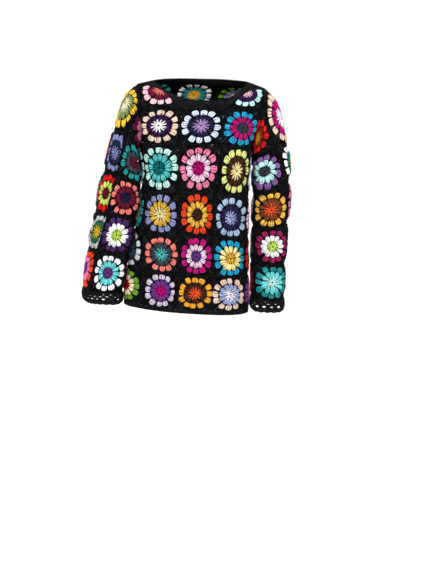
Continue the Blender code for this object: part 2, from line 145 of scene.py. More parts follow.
def rounded_section(half_x, front, back, squareness):
    """Half of a closed section, from its front to its back, with running lengths."""
    angle = np.linspace(0.0, math.pi, 181)
    cosine = np.cos(angle)
    x = half_x * squared(np.sin(angle), squareness)
    y = -squared(cosine, squareness) * np.where(cosine > 0, front, back)
    return x, y, running_length(x, y)


def body_row(turns, row):
    """The body's section at a row from 1 downward, at an array of turns."""
    ring = dict(zip(RING_COLUMNS, smooth_row(BODY_RINGS, row - 1)))
    turns = (turns + 4) % 8 - 4
    x, y = np.zeros(len(turns)), np.zeros(len(turns))
    for side, name in SIDE_NAMES.items():
        xs, ys, length = rounded_section(ring[name], ring["front"], ring["back"],
                                         ring["squareness"])
        front_edge = FRONT_EDGE * ring[name + "_square"]
        back_edge = front_edge + ring["side_square"]
        known = np.interp(length, (0, front_edge, back_edge, length[-1]),
                          (0, FRONT_EDGE, SIDE_EDGE, 4))
        mine = (turns < 0) == (side < 0)
        x[mine] = side * np.interp(np.abs(turns[mine]), known, xs)
        y[mine] = np.interp(np.abs(turns[mine]), known, ys)
    across = np.clip(x / SQUARE, -TILT_REACH, TILT_REACH)
    front_share = np.maximum(-y, 0) / ring["front"]
    z = (ring["height"] + across * ring["tilt"] / 2
         + across ** 2 * front_share * ring["dip"])
    return np.stack([x, y, z], axis=1)


def shoulder_row(turns):
    """The shoulder line: the back's top edge, and the front's line above it."""
    turns = (turns + 4) % 8 - 4
    tips = np.where(turns[:, None] < 0, SHOULDER_TIP[-1], SHOULDER_TIP[1])
    in_front = np.abs(turns) <= 2
    share = np.where(in_front, np.abs(turns), 4 - np.abs(turns)) / FRONT_EDGE
    setback = np.where(in_front, FRONT_NECK_SETBACK, BACK_NECK_SETBACK) * (1 - share ** 2)
    middle = (SHOULDER_TIP[-1][2] + SHOULDER_TIP[1][2]) / 2 + SHOULDER_RISE
    return np.stack([NECK_CENTRE * (1 - share) + tips[:, 0] * share,
                     tips[:, 1] + setback,
                     middle + (tips[:, 2] - middle) * share ** 2], axis=1)


def curve_between(start, end, leave, arrive, f):
    """A smooth curve from start to end with the given directions at its ends."""
    return ((2 * f ** 3 - 3 * f ** 2 + 1) * start + (f ** 3 - 2 * f ** 2 + f) * leave
            + (3 * f ** 2 - 2 * f ** 3) * end + (f ** 3 - f ** 2) * arrive)


def torso_row(turns, row):
    """The body at a row, the shoulder row too."""
    turns = np.asarray(turns, float)
    if row >= 1:
        return body_row(turns, row)
    below = body_row(turns, 1.0)
    downward = (body_row(turns, 1.0 + LOOK_AHEAD) - below) / LOOK_AHEAD
    faces_front = np.abs((turns + 4) % 8 - 4) < 2
    outward = np.stack([0 * turns, np.where(faces_front, -1.0, 1.0),
                        0 * turns - YOKE_SLOPE], axis=1)
    return curve_between(shoulder_row(turns), below, outward * YOKE_SWELL, downward,
                         max(row, TOP_ROW))


def torso_point(turn, row):
    """The body at one turn and row."""
    return torso_row(np.array([turn]), row)[0]


def armhole_loop(side):
    """The armhole's edge, from the shoulder tip down the front and up the back."""
    lift = WALL / 2 + SEAM_GAP
    rows = np.linspace(0.0, UNDERARM, 33)
    places = ([(FRONT_EDGE, row) for row in rows]
              + [(turn, UNDERARM) for turn in np.linspace(FRONT_EDGE, SIDE_EDGE, 17)[1:-1]]
              + [(SIDE_EDGE, row) for row in rows[::-1]])
    points = []
    for turn, row in places:
        here = torso_point(side * turn, row)
        if row < UNDERARM:
            aside = -LOOK_ASIDE if turn < 2 else LOOK_ASIDE
            inner, clear = torso_point(side * (turn + aside), row), lift
        else:
            inner, clear = torso_point(side * turn, row + LOOK_ASIDE), lift + WALL * 0.75
        away = here - inner
        points.append(here + away / np.linalg.norm(away) * clear)
    points[0] = points[-1] = (points[0] + points[-1]) / 2 + np.array((0, 0, lift))
    points = eased = np.array(points)
    for _ in range(LOOP_EASING):
        loop = eased[:-1]
        loop = (np.roll(loop, 1, axis=0) + 2 * loop + np.roll(loop, -1, axis=0)) / 4
        eased = np.vstack([loop, loop[:1]])
    down = np.array([row for _, row in places])
    share = np.interp(down, EASED_ROWS, (0, 1))[:, None]
    points = points * (1 - share) + eased * share
    length = np.r_[0.0, np.cumsum(np.linalg.norm(np.diff(points, axis=0), axis=1))]
    return length / length[-1] * 4, points


ARMHOLES = {side: armhole_loop(side) for side in SIDE_NAMES}


def sleeve_ring(side, turns, row):
    """The sleeve's section at a row from 1 downward."""
    ring = dict(zip(SLEEVE_COLUMNS, smooth_row(SLEEVE_RINGS[side], row - 1)))
    angle = np.linspace(0.0, 2 * math.pi, 361)
    outs = ring["half_width"] * squared(np.cos(angle), SLEEVE_SQUARENESS)
    fronts = ring["half_depth"] * squared(np.sin(angle), SLEEVE_SQUARENESS)
    length = running_length(outs, fronts)
    known, place = length / length[-1] * 4, (turns + ring["slip"]) % 4
    out, front = np.interp(place, known, outs), np.interp(place, known, fronts)
    angle = math.radians(ring["forward"])
    out, front = (out * math.cos(angle) - front * math.sin(angle),
                  out * math.sin(angle) + front * math.cos(angle))
    return np.stack([side * (ring["out"] + out), ring["back"] - front,
                     ring["height"] + ring["lean"] * out / ring["half_width"]], axis=1)


def sleeve_row(side, turns, row):
    """The sleeve at a row, from the armhole at row 0 to the cuff seam."""
    turns = np.asarray(turns, float)
    if row >= 1:
        return sleeve_ring(side, turns, row)
    known, loop = ARMHOLES[side]
    place = (turns + ARMHOLE_SLIP) % 4
    start = np.stack([np.interp(place, known, loop[:, axis]) for axis in range(3)], axis=1)
    end = sleeve_ring(side, turns, 1.0)
    arrive = (sleeve_ring(side, turns, 1.0 + LOOK_AHEAD) - end) / LOOK_AHEAD
    leave = (end - start) * SLEEVE_HEAD_EASE
    leave[:, 0] += side * np.interp(turns % 4, range(5), SLEEVE_HEAD_OUT)
    leave[:, 2] += np.interp(turns % 4, range(5), SLEEVE_HEAD_UP)
    return curve_between(start, end, leave, arrive, max(row, TOP_ROW))


class Form:
    """A worn surface, read at a turn, a row and a height above it.

    outward is 1 or -1, the side that turns and rows face. relief says how far the cloth
    stands out, and cycle where turns start to repeat, and after how many."""

    def __init__(self, row_points, turns, rows, outward, relief, cycle,
                 steps=(FORM_STEP, FORM_STEP)):
        self.turns = np.linspace(*turns, int(round((turns[1] - turns[0]) / steps[0])) + 1)
        self.rows = np.linspace(*rows, int(round((rows[1] - rows[0]) / steps[1])) + 1)
        self.cycle = cycle
        grid = np.array([row_points(self.turns, row) for row in self.rows])
        self.outward = self.directions(grid, outward)
        if relief:
            across, down = np.meshgrid(self.turns, self.rows)
            grid = grid + self.outward * relief(across, down)[..., None]
            self.outward = self.directions(grid, outward)
        self.grid = grid

    @staticmethod
    def directions(grid, outward):
        """The outward direction at each point of the grid."""
        normal = np.cross(np.gradient(grid, axis=0), np.gradient(grid, axis=1)) * outward
        return normal / np.maximum(np.linalg.norm(normal, axis=2), 1e-12)[..., None]

    def read(self, turn, row, height=0.0):
        """Points of the surface, at arrays of turns, rows and heights."""
        first, repeat = self.cycle
        turn = (turn - first) % repeat + first
        across = np.clip((turn - self.turns[0]) / (self.turns[1] - self.turns[0]),
                         0, len(self.turns) - 1.001)
        down = np.clip((row - self.rows[0]) / (self.rows[1] - self.rows[0]),
                       0, len(self.rows) - 1.001)
        i, j = across.astype(int), down.astype(int)
        s, t = (across - i)[:, None], (down - j)[:, None]
        place, facing = ((grid[j, i] * (1 - s) + grid[j, i + 1] * s) * (1 - t)
                         + (grid[j + 1, i] * (1 - s) + grid[j + 1, i + 1] * s) * t
                         for grid in (self.grid, self.outward))
        facing /= np.linalg.norm(facing, axis=1)[:, None]
        return place + facing * np.asarray(height)[..., None]


# ---------------------------------------------------------------- folds
# Soft troughs (negative depth) and ridges: the turn and row of each one's middle, its angle
# from the turn direction in degrees, its length and width in squares, its depth in metres.
TORSO_FOLDS = (
    (-1.25, 1.10, 62, 0.55, 0.13, -0.0050), (1.28, 1.05, -58, 0.60, 0.12, -0.0055),
    (-0.95, 1.55, 35, 0.50, 0.12, 0.0030), (1.05, 1.70, -40, 0.55, 0.14, 0.0035),
    (-1.45, 2.60, 20, 0.60, 0.14, -0.0050), (-1.55, 3.25, -12, 0.70, 0.12, -0.0045),
    (1.55, 2.75, -16, 0.65, 0.13, -0.0050), (1.50, 3.55, 10, 0.55, 0.11, -0.0040),
    (-0.50, 2.98, 4, 0.80, 0.10, -0.0030), (0.55, 3.98, -5, 0.90, 0.10, -0.0035),
    (0.00, 5.80, 0, 0.90, 0.16, -0.0060), (-1.10, 5.75, 8, 0.60, 0.14, 0.0040),
    (1.00, 5.70, -6, 0.70, 0.15, 0.0040), (-0.30, 5.35, 80, 0.50, 0.16, 0.0030),
    (3.20, 1.10, 55, 0.60, 0.13, -0.0055), (-3.30, 1.00, -50, 0.55, 0.13, -0.0050),
    (4.00, 2.45, 5, 0.90, 0.13, -0.0055), (3.30, 2.90, -20, 0.70, 0.12, -0.0045),
    (-3.20, 3.05, 18, 0.75, 0.12, -0.0050), (3.80, 3.60, 10, 0.65, 0.11, 0.0040),
    (-3.60, 4.60, -8, 0.70, 0.12, -0.0040), (3.40, 5.60, 84, 0.60, 0.16, 0.0045),
    (-3.10, 5.55, 95, 0.55, 0.15, 0.0045), (4.00, 5.60, 90, 0.60, 0.17, -0.0045),
    (2.10, 3.20, 12, 0.55, 0.12, -0.0050), (-2.10, 2.90, -10, 0.55, 0.12, -0.0050),
    (2.00, 4.30, -8, 0.50, 0.12, -0.0040), (-1.95, 4.15, 14, 0.50, 0.12, -0.0040),
    (-2.00, 4.90, 90, 1.00, 0.45, 0.0030),
)
SLEEVE_FOLDS = {
    -1: ((0.6, 0.85, 20, 0.9, 0.14, -0.0060), (1.2, 1.30, -18, 0.8, 0.13, -0.0060),
         (0.3, 2.02, 8, 0.8, 0.11, -0.0050), (1.5, 2.35, 22, 0.9, 0.14, -0.0065),
         (0.9, 3.02, -10, 0.9, 0.12, -0.0060), (3.2, 2.10, 12, 0.9, 0.13, -0.0060),
         (3.4, 3.30, -16, 0.8, 0.12, -0.0055), (0.2, 4.02, 6, 0.9, 0.11, -0.0050),
         (1.4, 4.20, 14, 0.8, 0.12, -0.0050), (2.9, 4.40, -8, 0.7, 0.12, -0.0050),
         (0.8, 4.92, 0, 1.2, 0.10, -0.0050), (2.8, 0.95, -24, 0.8, 0.14, -0.0060),
         (0.28, 1.5, 88, 0.8, 0.12, -0.0130), (0.28, 2.5, 93, 0.8, 0.12, -0.0140),
         (0.28, 3.5, 90, 0.6, 0.11, -0.0120), (-0.40, 3.3, 90, 2.2, 0.50, 0.0060),
         (-0.40, 2.25, 90, 0.5, 0.50, 0.0050), (1.75, 4.3, 90, 1.5, 0.50, 0.0070),
         (1.75, 2.35, 90, 0.5, 0.45, 0.0060)),
    1: ((0.7, 0.90, -22, 0.9, 0.14, -0.0060), (1.3, 1.60, 16, 0.8, 0.13, -0.0060),
        (0.2, 1.98, -6, 0.9, 0.12, -0.0050), (1.1, 2.60, -20, 0.9, 0.13, -0.0065),
        (0.6, 3.04, 12, 0.9, 0.12, -0.0055), (3.1, 1.90, -14, 0.9, 0.13, -0.0060),
        (3.5, 3.10, 18, 0.8, 0.12, -0.0055), (1.3, 3.75, -10, 0.8, 0.12, -0.0055),
        (0.1, 4.05, 8, 0.9, 0.11, -0.0050), (2.9, 4.20, 10, 0.7, 0.12, -0.0050),
        (1.0, 4.90, 4, 1.2, 0.10, -0.0050), (2.7, 1.05, 22, 0.8, 0.14, -0.0060),
        (0.1, 4.2, 90, 1.5, 0.60, -0.0080), (-0.1, 0.55, 0, 0.9, 0.35, -0.0140)),
}


def folded(table, turn, row, cycle):
    """How far the folds of a table move a place outward."""
    moved = np.zeros_like(turn)
    for middle_turn, middle_row, angle, length, width, depth in table:
        across = (turn - middle_turn + cycle / 2) % cycle - cycle / 2
        down = row - middle_row
        angle = math.radians(angle)
        along = across * math.cos(angle) + down * math.sin(angle)
        beside = down * math.cos(angle) - across * math.sin(angle)
        moved += depth * np.exp(-(along / length) ** 2 * 2 - (beside / width) ** 2)
    return moved


def puff(turn, row, amount):
    """How far a square swells out: most in its middle, none at its seams."""
    across = turn - np.floor(turn + 0.5)
    down = row - np.floor(row) - 0.5
    return amount * np.cos(math.pi * across) * np.cos(math.pi * down)


def torso_relief(turn, row):
    """How far the body's cloth stands out from its smooth form."""
    worn = np.clip((row - FOLDS_FROM) / TORSO_FOLD_EASE, 0, 1)
    return puff(turn, row, BODY_PUFF) + worn * folded(TORSO_FOLDS, turn, row, 8)


def sleeve_relief(side):
    """How far a sleeve's cloth stands out from its smooth form, by turn and row."""
    def relief(turn, row):
        inner = np.maximum(np.cos(math.pi / 2 * (turn - 2)), 0) ** 2
        swell = puff(turn, row, SLEEVE_PUFF) * (1 - INNER_FLATNESS * inner)
        for middle, share in UNDERARM_CREASES:
            swell -= (CREASE_DEPTH * share * inner
                      * np.exp(-((row - middle) / CREASE_WIDTH) ** 2))
        worn = np.clip((row - FOLDS_FROM) / SLEEVE_FOLD_EASE, 0, 1)
        return swell + worn * folded(SLEEVE_FOLDS[side], turn, row, 4)
    return relief


# How far the front's squares have slipped round, in columns, at these rows.
HANG_ROWS = (1.0, 1.5, 2.5, 3.5, 4.5, 5.5, 6.0)
HANG = ((0, -0.04, -0.02, 0.0, 0.06, 0.08, 0.04),         # its right column
        (0, -0.06, -0.08, -0.02, 0.0, 0.02, 0.0),         # its middle column
        (0, 0.0, -0.06, -0.12, -0.02, 0.02, 0.0))         # its left column


def hung_row(turns, row):
    """The body at a row, its front squares slipped a little from their columns."""
    slips = [np.interp(row, HANG_ROWS, column) for column in HANG]
    turns = (turns + 4) % 8 - 4
    slip = np.interp(turns, (-FRONT_EDGE, -1, 0, 1, FRONT_EDGE), (0, *slips, 0))
    return torso_row(turns + slip, row)


# On the sleeves: where each of these turns has slipped to, at the middle of each row.
SLEEVE_HANG_ROWS = (0.5, 1.5, 2.5, 3.5, 4.5)
SLIPPED_TURNS = (-1.0, -0.5, 0.0, 0.5, 1.0, 1.5, 2.0, 3.0)
SLEEVE_HANG = {
    -1: ((-0.85, -0.15, 0.42, 0.80, 1.20, 1.55, 2.0, 3.15),
         (-0.62, 0.10, 0.60, 0.68, 1.03, 1.50, 2.0, 3.38),
         (-0.60, 0.12, 0.57, 0.61, 0.97, 1.48, 2.0, 3.40),
         (-0.62, 0.06, 0.56, 0.60, 0.97, 1.48, 2.0, 3.38),
         (-0.90, -0.25, 0.28, 0.60, 0.95, 1.48, 2.0, 3.10)),
    1: ((-0.90, -0.30, 0.24, 0.70, 1.15, 1.55, 2.0, 3.10),
        (-0.95, -0.40, 0.13, 0.53, 0.96, 1.56, 2.1, 3.05),
        (-1.00, -0.50, 0.00, 0.45, 0.92, 1.50, 2.0, 3.00),
        (-1.00, -0.60, -0.12, 0.40, 0.90, 1.45, 2.0, 3.00),
        (-1.00, -0.60, -0.12, 0.40, 0.92, 1.45, 2.0, 3.00)),
}
# How far the outer squares and the front squares have risen, by row.
SLEEVE_RISE_ROWS = (0.5, 1.0, 1.5, 2.0, 2.5, 3.5, 4.5)
SLEEVE_RISES = {-1: ((0.01, -0.03, 0.24, 0.22, 0.12, 0.04, 0.08),
                     (0.31, 0.36, 0.12, 0.02, 0.05, 0.07, 0.06)),
                1: ((-0.08, -0.05, 0.25, 0.28, 0.25, 0.00, 0.00),
                    (0.23, 0.47, 0.23, -0.03, -0.08, 0.00, 0.02))}
# How far the inner side is raised, and the outer side lowered.
SLEEVE_TILTS = {-1: (0.0, 0.13, 0.26, 0.18, 0.10, 0.0, 0.0),
                1: (0.0, 0.16, 0.32, 0.23, 0.14, 0.04, 0.0)}
SLIP_BLUR = (-0.14, -0.07, 0.0, 0.07, 0.14)  # turns that each slip is averaged over
RISE_FOCUS = 1.6         # how much a rise keeps to its own column
RISE_EASE = 0.5          # rows over which a rise starts and ends


def slipped_row(side, turns, row):
    """The sleeve at a row, with its squares slipped."""
    hang = [np.interp(row, SLEEVE_HANG_ROWS, places) for places in zip(*SLEEVE_HANG[side])]
    hang = np.array(hang + [hang[0] + 4, hang[1] + 4])
    known = np.array(SLIPPED_TURNS + (SLIPPED_TURNS[0] + 4, SLIPPED_TURNS[1] + 4))
    inside = (turns + 0.75) % 4 - 0.75
    slipped = np.mean([np.interp(inside + blur, known, hang) for blur in SLIP_BLUR], axis=0)
    slipped = slipped + turns - inside
    tilt = np.interp(row, SLEEVE_RISE_ROWS, SLEEVE_TILTS[side])
    rise = np.sin(math.pi / 2 * (turns - 1)) * tilt
    for column, rises in enumerate(SLEEVE_RISES[side]):
        share = ((1 + np.cos(math.pi / 2 * (turns - column))) / 2) ** RISE_FOCUS
        rise = rise + share * np.interp(row, SLEEVE_RISE_ROWS, rises)
    rise = rise * (np.clip(row / RISE_EASE, 0, 1)
                   * np.clip((SLEEVE_ROWS - row) / RISE_EASE, 0, 1))
    here = sleeve_row(side, slipped, row)
    above = sleeve_row(side, slipped, row - LOOK_UP)
    return here + (above - here) / LOOK_UP * rise[:, None]


# All round the body and a sleeve, and a quarter of a column more at each end.
BODY_ROUND, SLEEVE_ROUND = (-4.25, 4.25), (-0.25, 4.25)
BAND_LEVELS, BAND_STEP = (-0.2, 1.3), 0.1
torso = Form(hung_row, BODY_ROUND, (-0.2, 6.2), 1, torso_relief, (-4, 8))
sleeves = {side: Form(partial(slipped_row, side), SLEEVE_ROUND, (-0.1, 5.1), -side,
                      sleeve_relief(side), (0, 4))
           for side in SIDE_NAMES}


def neck_row(stations, level):
    """The neckband: level 0 at its seam, 1 at its open edge. Stations 0 to 1 are the
    front, from the wearer's right, and 1 to 2 the back."""
    stations = stations % 2
    gap = SEAM_GAP / SQUARE
    front = stations <= 1
    turn = np.where(front, -FRONT_EDGE + 3 * stations, SIDE_EDGE + 3 * (stations - 1))
    row = np.where(front, np.minimum(1.0, FRONT_EDGE - np.abs(turn)) - gap, -gap)
    seam = torso.read(turn, row)
    from_tip = np.abs(stations - np.round(stations))
    seam[:, 2] += (WALL + SEAM_GAP) * np.maximum(1 - from_tip / NECK_TIP_REACH, 0)
    share = np.where(front, -np.cos(math.pi * stations), np.cos(math.pi * (stations - 1)))
    size = np.abs(share)
    reach = np.where(front, -NECK_FRONT_REACH, NECK_BACK_REACH) * (1 - size ** NECK_CURVE)
    z = NECK_CREST + np.where(front, -NECK_FRONT_DROP * (1 - size ** NECK_DROP_CURVE),
                              NECK_BACK_RISE * (1 - size ** NECK_RISE_CURVE))
    edge = np.stack([NECK_CENTRE + NECK_HALF_WIDTH * share, NECK_SETBACK + reach,
                     z + NECK_CREST_TILT * share], axis=1)
    return seam + (edge - seam) * level


def hem_row(turns, level):
    """The hem band: level 0 at the body's seam, 1 at its lower edge."""
    seam = torso.read(turns, np.full(len(turns), float(BODY_ROWS + 1)))
    return seam - np.array((0, 0, SEAM_GAP + level * (HEM_DEPTH - SEAM_GAP)))


def cuff_row(side, turns, level):
    """The lace cuff: level 0 at the sleeve's seam, 1 at its scalloped edge."""
    form = sleeves[side]
    seam = form.read(turns, np.full(len(turns), float(SLEEVE_ROWS)))
    centre = form.read(np.arange(4.0), np.full(4, float(SLEEVE_ROWS))).mean(axis=0)
    out = seam - centre
    out /= np.linalg.norm(out, axis=1)[:, None]
    swell = CUFF_PUFF * math.sin(math.pi * min(max(level, 0), 1)) - CUFF_TAPER * level
    swell -= CUFF_CURL * max(level - CUFF_CURL_FROM, 0) ** 2
    return seam + out * swell - np.array((0, 0, level * CUFF_DROPS[side]))


neck = Form(neck_row, (-0.05, 2.05), BAND_LEVELS, -1, None, (0, 2), (1 / 48, BAND_STEP))
hem = Form(hem_row, BODY_ROUND, BAND_LEVELS, 1, None, (-4, 8), (FORM_STEP, BAND_STEP))
cuffs = {side: Form(partial(cuff_row, side), SLEEVE_ROUND, BAND_LEVELS, -side, None,
                    (0, 4), (FORM_STEP, BAND_STEP))
         for side in SIDE_NAMES}


# ---------------------------------------------------------------- yarn colours
PALETTE = {
    "white": (0.92, 0.90, 0.93), "cream": (0.85, 0.74, 0.48), "pale_pink": (0.80, 0.48, 0.55),
    "rose": (0.70, 0.17, 0.31), "magenta": (0.46, 0.005, 0.17), "crimson": (0.30, 0.012, 0.09),
    "wine": (0.13, 0.007, 0.024), "plum": (0.035, 0.008, 0.06), "purple": (0.13, 0.035, 0.22),
    "violet": (0.44, 0.26, 0.56), "lilac": (0.57, 0.47, 0.62), "periwinkle": (0.20, 0.235, 0.46),
    "navy": (0.016, 0.016, 0.055), "ice": (0.62, 0.70, 0.86), "sky": (0.33, 0.46, 0.62),
    "cerulean": (0.01, 0.32, 0.54), "slate": (0.04, 0.05, 0.065), "pine": (0.004, 0.15, 0.16),
    "teal": (0.015, 0.26, 0.265), "turquoise": (0.08, 0.44, 0.43), "aqua": (0.50, 0.85, 0.84),
    "mint": (0.45, 0.72, 0.66), "green": (0.14, 0.32, 0.02), "fir": (0.02, 0.12, 0.05),
    "lime": (0.55, 0.72, 0.12), "lemon": (0.60, 0.64, 0.20), "yellow": (0.78, 0.50, 0.03),
    "straw": (0.86, 0.73, 0.32), "golden": (0.74, 0.42, 0.05), "mustard": (0.65, 0.30, 0.02),
    "amber": (0.80, 0.35, 0.025), "orange": (0.68, 0.05, 0.01), "red": (0.62, 0.01, 0.01),
    "coral": (0.76, 0.19, 0.15), "peach": (0.76, 0.56, 0.45), "brown": (0.05, 0.018, 0.01),
    "silver": (0.55, 0.57, 0.60), "mauve": (0.42, 0.13, 0.20),
    "blush": (0.74, 0.54, 0.66), "gold": (0.58, 0.34, 0.045), "cherry": (0.07, 0.004, 0.03),
    "cornflower": (0.33, 0.38, 0.62), "flame": (0.85, 0.10, 0.02), "grape": (0.07, 0.02, 0.12),
    "heather": (0.20, 0.09, 0.28), "lagoon": (0.14, 0.64, 0.64), "sage": (0.21, 0.27, 0.11),
    "raspberry": (0.40, 0.010, 0.15), "chestnut": (0.18, 0.05, 0.015),
    "rust": (0.22, 0.02, 0.005), "black": (0.0025, 0.0025, 0.0030),
}
# Each square's yarns: its centre, its middle ring and its petals. Columns are named by
# side, rows from the shoulders down.
FRONT_YARNS = {
    "right": ("coral wine pale_pink", "white plum peach", "pine turquoise mint",
              "straw gold periwinkle", "turquoise slate coral", "magenta purple lilac"),
    "middle": ("", "violet navy ice", "magenta blush rose", "brown golden orange",
               "purple blush magenta", "flame brown amber"),
    "left": ("pale_pink plum aqua", "slate raspberry cerulean", "straw brown lemon",
             "cornflower navy sky", "golden straw cerulean", "white cornflower peach"),
}
# How much wider and taller than usual each front square's rounds were worked.
FRONT_GROWTH = {
    "right": ((0.93, 0.92), (1.05, 1.06), (1.13, 1.00), (1.00, 1.03), (1.02, 1.03),
              (0.94, 1.08)),
    "middle": ((1.00, 1.00), (1.07, 1.08), (1.09, 1.00), (1.04, 1.05), (1.03, 1.03),
               (1.11, 1.05)),
    "left": ((0.95, 0.94), (1.04, 1.07), (0.91, 1.03), (1.05, 1.03), (1.10, 1.08),
             (1.16, 1.06)),
}
USUAL_GROWTH = (1.01, 1.03)
SIDE_YARNS = {
    "right": ("", "", "yellow purple aqua", "rose cream teal", "cerulean slate silver",
              "red cream green"),
    "left": ("", "", "pine turquoise lilac", "wine violet pale_pink", "cream fir red",
             "lemon rose purple"),
}
SLEEVE_YARNS = {
    "right": {"outer": ("cream sage yellow", "periwinkle navy periwinkle", "wine lime red",
                        "yellow fir silver", "purple rose orange"),
              "front": ("mauve mauve cherry", "wine slate teal", "navy wine coral",
                        "lime white grape", "purple lagoon white"),
              "inner": ("golden teal navy", "ice rose plum", "lime cerulean pine",
                        "orange straw brown", "peach violet wine"),
              "back": ("rose white navy", "lime orange plum", "ice magenta pine",
                       "coral straw purple", "mint blush wine")},
    "left": {"outer": ("white magenta peach", "yellow pine white", "ice purple rose",
                       "amber turquoise navy", "cream teal plum"),
             "front": ("mustard rust red", "slate aqua heather", "flame chestnut golden",
                       "lime white crimson", "aqua lagoon teal"),
             "inner": ("mint coral plum", "straw periwinkle pine", "rose white brown",
                       "aqua mustard navy", "lilac orange wine"),
             "back": ("turquoise cream crimson", "golden violet fir", "orange white navy",
                      "lilac lemon cherry", "peach aqua purple")},
}
BACK_YARNS = {
    "right": ("straw wine turquoise", "magenta mint purple", "plum rose sky",
              "rose plum lemon", "navy yellow rose", "ice navy coral"),
    "middle": ("golden teal white", "lilac pine amber", "orange cream violet",
               "turquoise brown lilac", "brown coral mint", "cerulean slate peach"),
    "left": ("peach periwinkle green", "wine straw cerulean", "aqua magenta silver",
             "white crimson yellow", "lime fir pale_pink", "teal blush red"),
}


# ---------------------------------------------------------------- strands and stitches
# A strand's own map: its sides as an upright strip, over a disc for each of its ends.
STRIP_LEFT, STRIP_WIDTH, STRIP_FOOT, STRIP_HEIGHT = 0.02, 0.94, 0.14, 0.82
NEAR_DISC, FAR_DISC, DISC_SIZE = (0.25, 0.06), (0.75, 0.06), 0.045
BLUNT_END = 0.45         # how wide a strand's end rings are, to its middle


class Strand:
    """A closed strand, modelled once along +Z as rings of points, and copied."""

    def __init__(self, sides, rings):
        bpy.ops.object.select_all(action="DESELECT")
        bpy.ops.mesh.primitive_circle_add(vertices=sides, radius=1, fill_type="NGON")
        strand = bpy.context.object
        bpy.ops.object.mode_set(mode="EDIT")
        for _ in range(rings - 1):
            bpy.ops.mesh.extrude_region_move(TRANSFORM_OT_translate={"value": (0, 0, 1)})
        bpy.ops.mesh.select_all(action="SELECT")
        bpy.ops.mesh.normals_make_consistent(inside=False)
        bpy.ops.object.mode_set(mode="OBJECT")
        mesh = strand.data
        points = np.array([corner.co for corner in mesh.vertices])
        angle = np.arctan2(points[:, 1], points[:, 0])
        self.rings = rings
        self.ring = np.rint(points[:, 2]).astype(int)
        self.beside, self.above = np.cos(angle), np.sin(angle)
        self.corners = np.array([loop.vertex_index for loop in mesh.loops])
        self.sizes = np.array([face.loop_total for face in mesh.polygons])
        faces = [list(face.vertices) for face in mesh.polygons]
        parts = [self.face_map(self.ring[face], angle[face] / math.tau % 1) for face in faces]
        self.map, self.around = (np.concatenate(part) for part in zip(*parts))
        bpy.data.objects.remove(strand)

    def face_map(self, ring, around):
        """A face's place on the map, and how far round the strand its corners are."""
        if len(set(ring)) == 1:
            far = ring[0] > 0
            turned = np.exp(1j * around * math.tau * (1 if far else -1))
            place = np.array(FAR_DISC if far else NEAR_DISC)
            return place + DISC_SIZE * np.stack([turned.real, turned.imag], axis=1), around
        split = (around < 0.5) & (around.max() - around.min() > 0.5)
        around = np.where(split, around + 1, around)
        return np.stack([around * STRIP_WIDTH + STRIP_LEFT,
                         STRIP_FOOT + STRIP_HEIGHT * (ring / (self.rings - 1))],
                        axis=1), around

    def stations(self):
        """Where the rings lie along a strand, close together at its round ends."""
        return np.r_[0, np.linspace(0.1, 0.9, self.rings - 2), 1]

    def copies(self, path, width, height):
        """The points of copies bent along paths of one point for each ring."""
        along = np.gradient(path, axis=1)
        beside = np.cross((0, 0, 1), along)
        beside /= np.linalg.norm(beside, axis=2)[..., None]
        above = np.cross(along, beside)
        above /= np.linalg.norm(above, axis=2)[..., None]
        full = np.ones(self.rings)
        full[[0, -1]] = BLUNT_END
        width, height = (np.broadcast_to(size * full, path.shape[:2])[:, self.ring]
                         for size in (width, height))
        return (path[:, self.ring] + beside[:, self.ring] * (width * self.beside)[..., None]
                + above[:, self.ring] * (height * self.above)[..., None])


SLIM, PLUMP, STOUT, LOOP = Strand(4, 4), Strand(5, 5), Strand(6, 6), Strand(4, 5)
RING, CHAIN = Strand(4, 13), Strand(4, 61)
SIDE_SHADE = 0.54        # painted shade: how dark the sides of a strand are, deep between its neighbours
STRAND_SHADES = (0.80, 1.16)                 # from the darkest strand to the lightest
BLACK_LIGHTS = (0.6, 8.0)                    # painted glints: from the dullest black strand to the brightest
BLACK_BIAS = 2.5                             # how few of the black strands take bright painted glints
TOP_LIGHT, EVEN_LIGHT = 0.75, 0.4            # painted light on a strand's top, and on all of it
PLY_SHIFT = 0.1                              # metres that a strand's plies may start late
CHAIN_LIGHT, POST_LIGHT = 2.2, 1.3           # painted highlight: how bright a square's chain and corners are
CLOTH_OUT, CLOTH_IN = -0.0001, -0.0009       # the cloth's two faces, from the form


def painted_black_glints(count):
    """Painted glints for some black strands: most stay dark, a few brighter as if lit."""
    low, high = BLACK_LIGHTS
    return low + (high - low) * rng.random((count, 1)) ** BLACK_BIAS


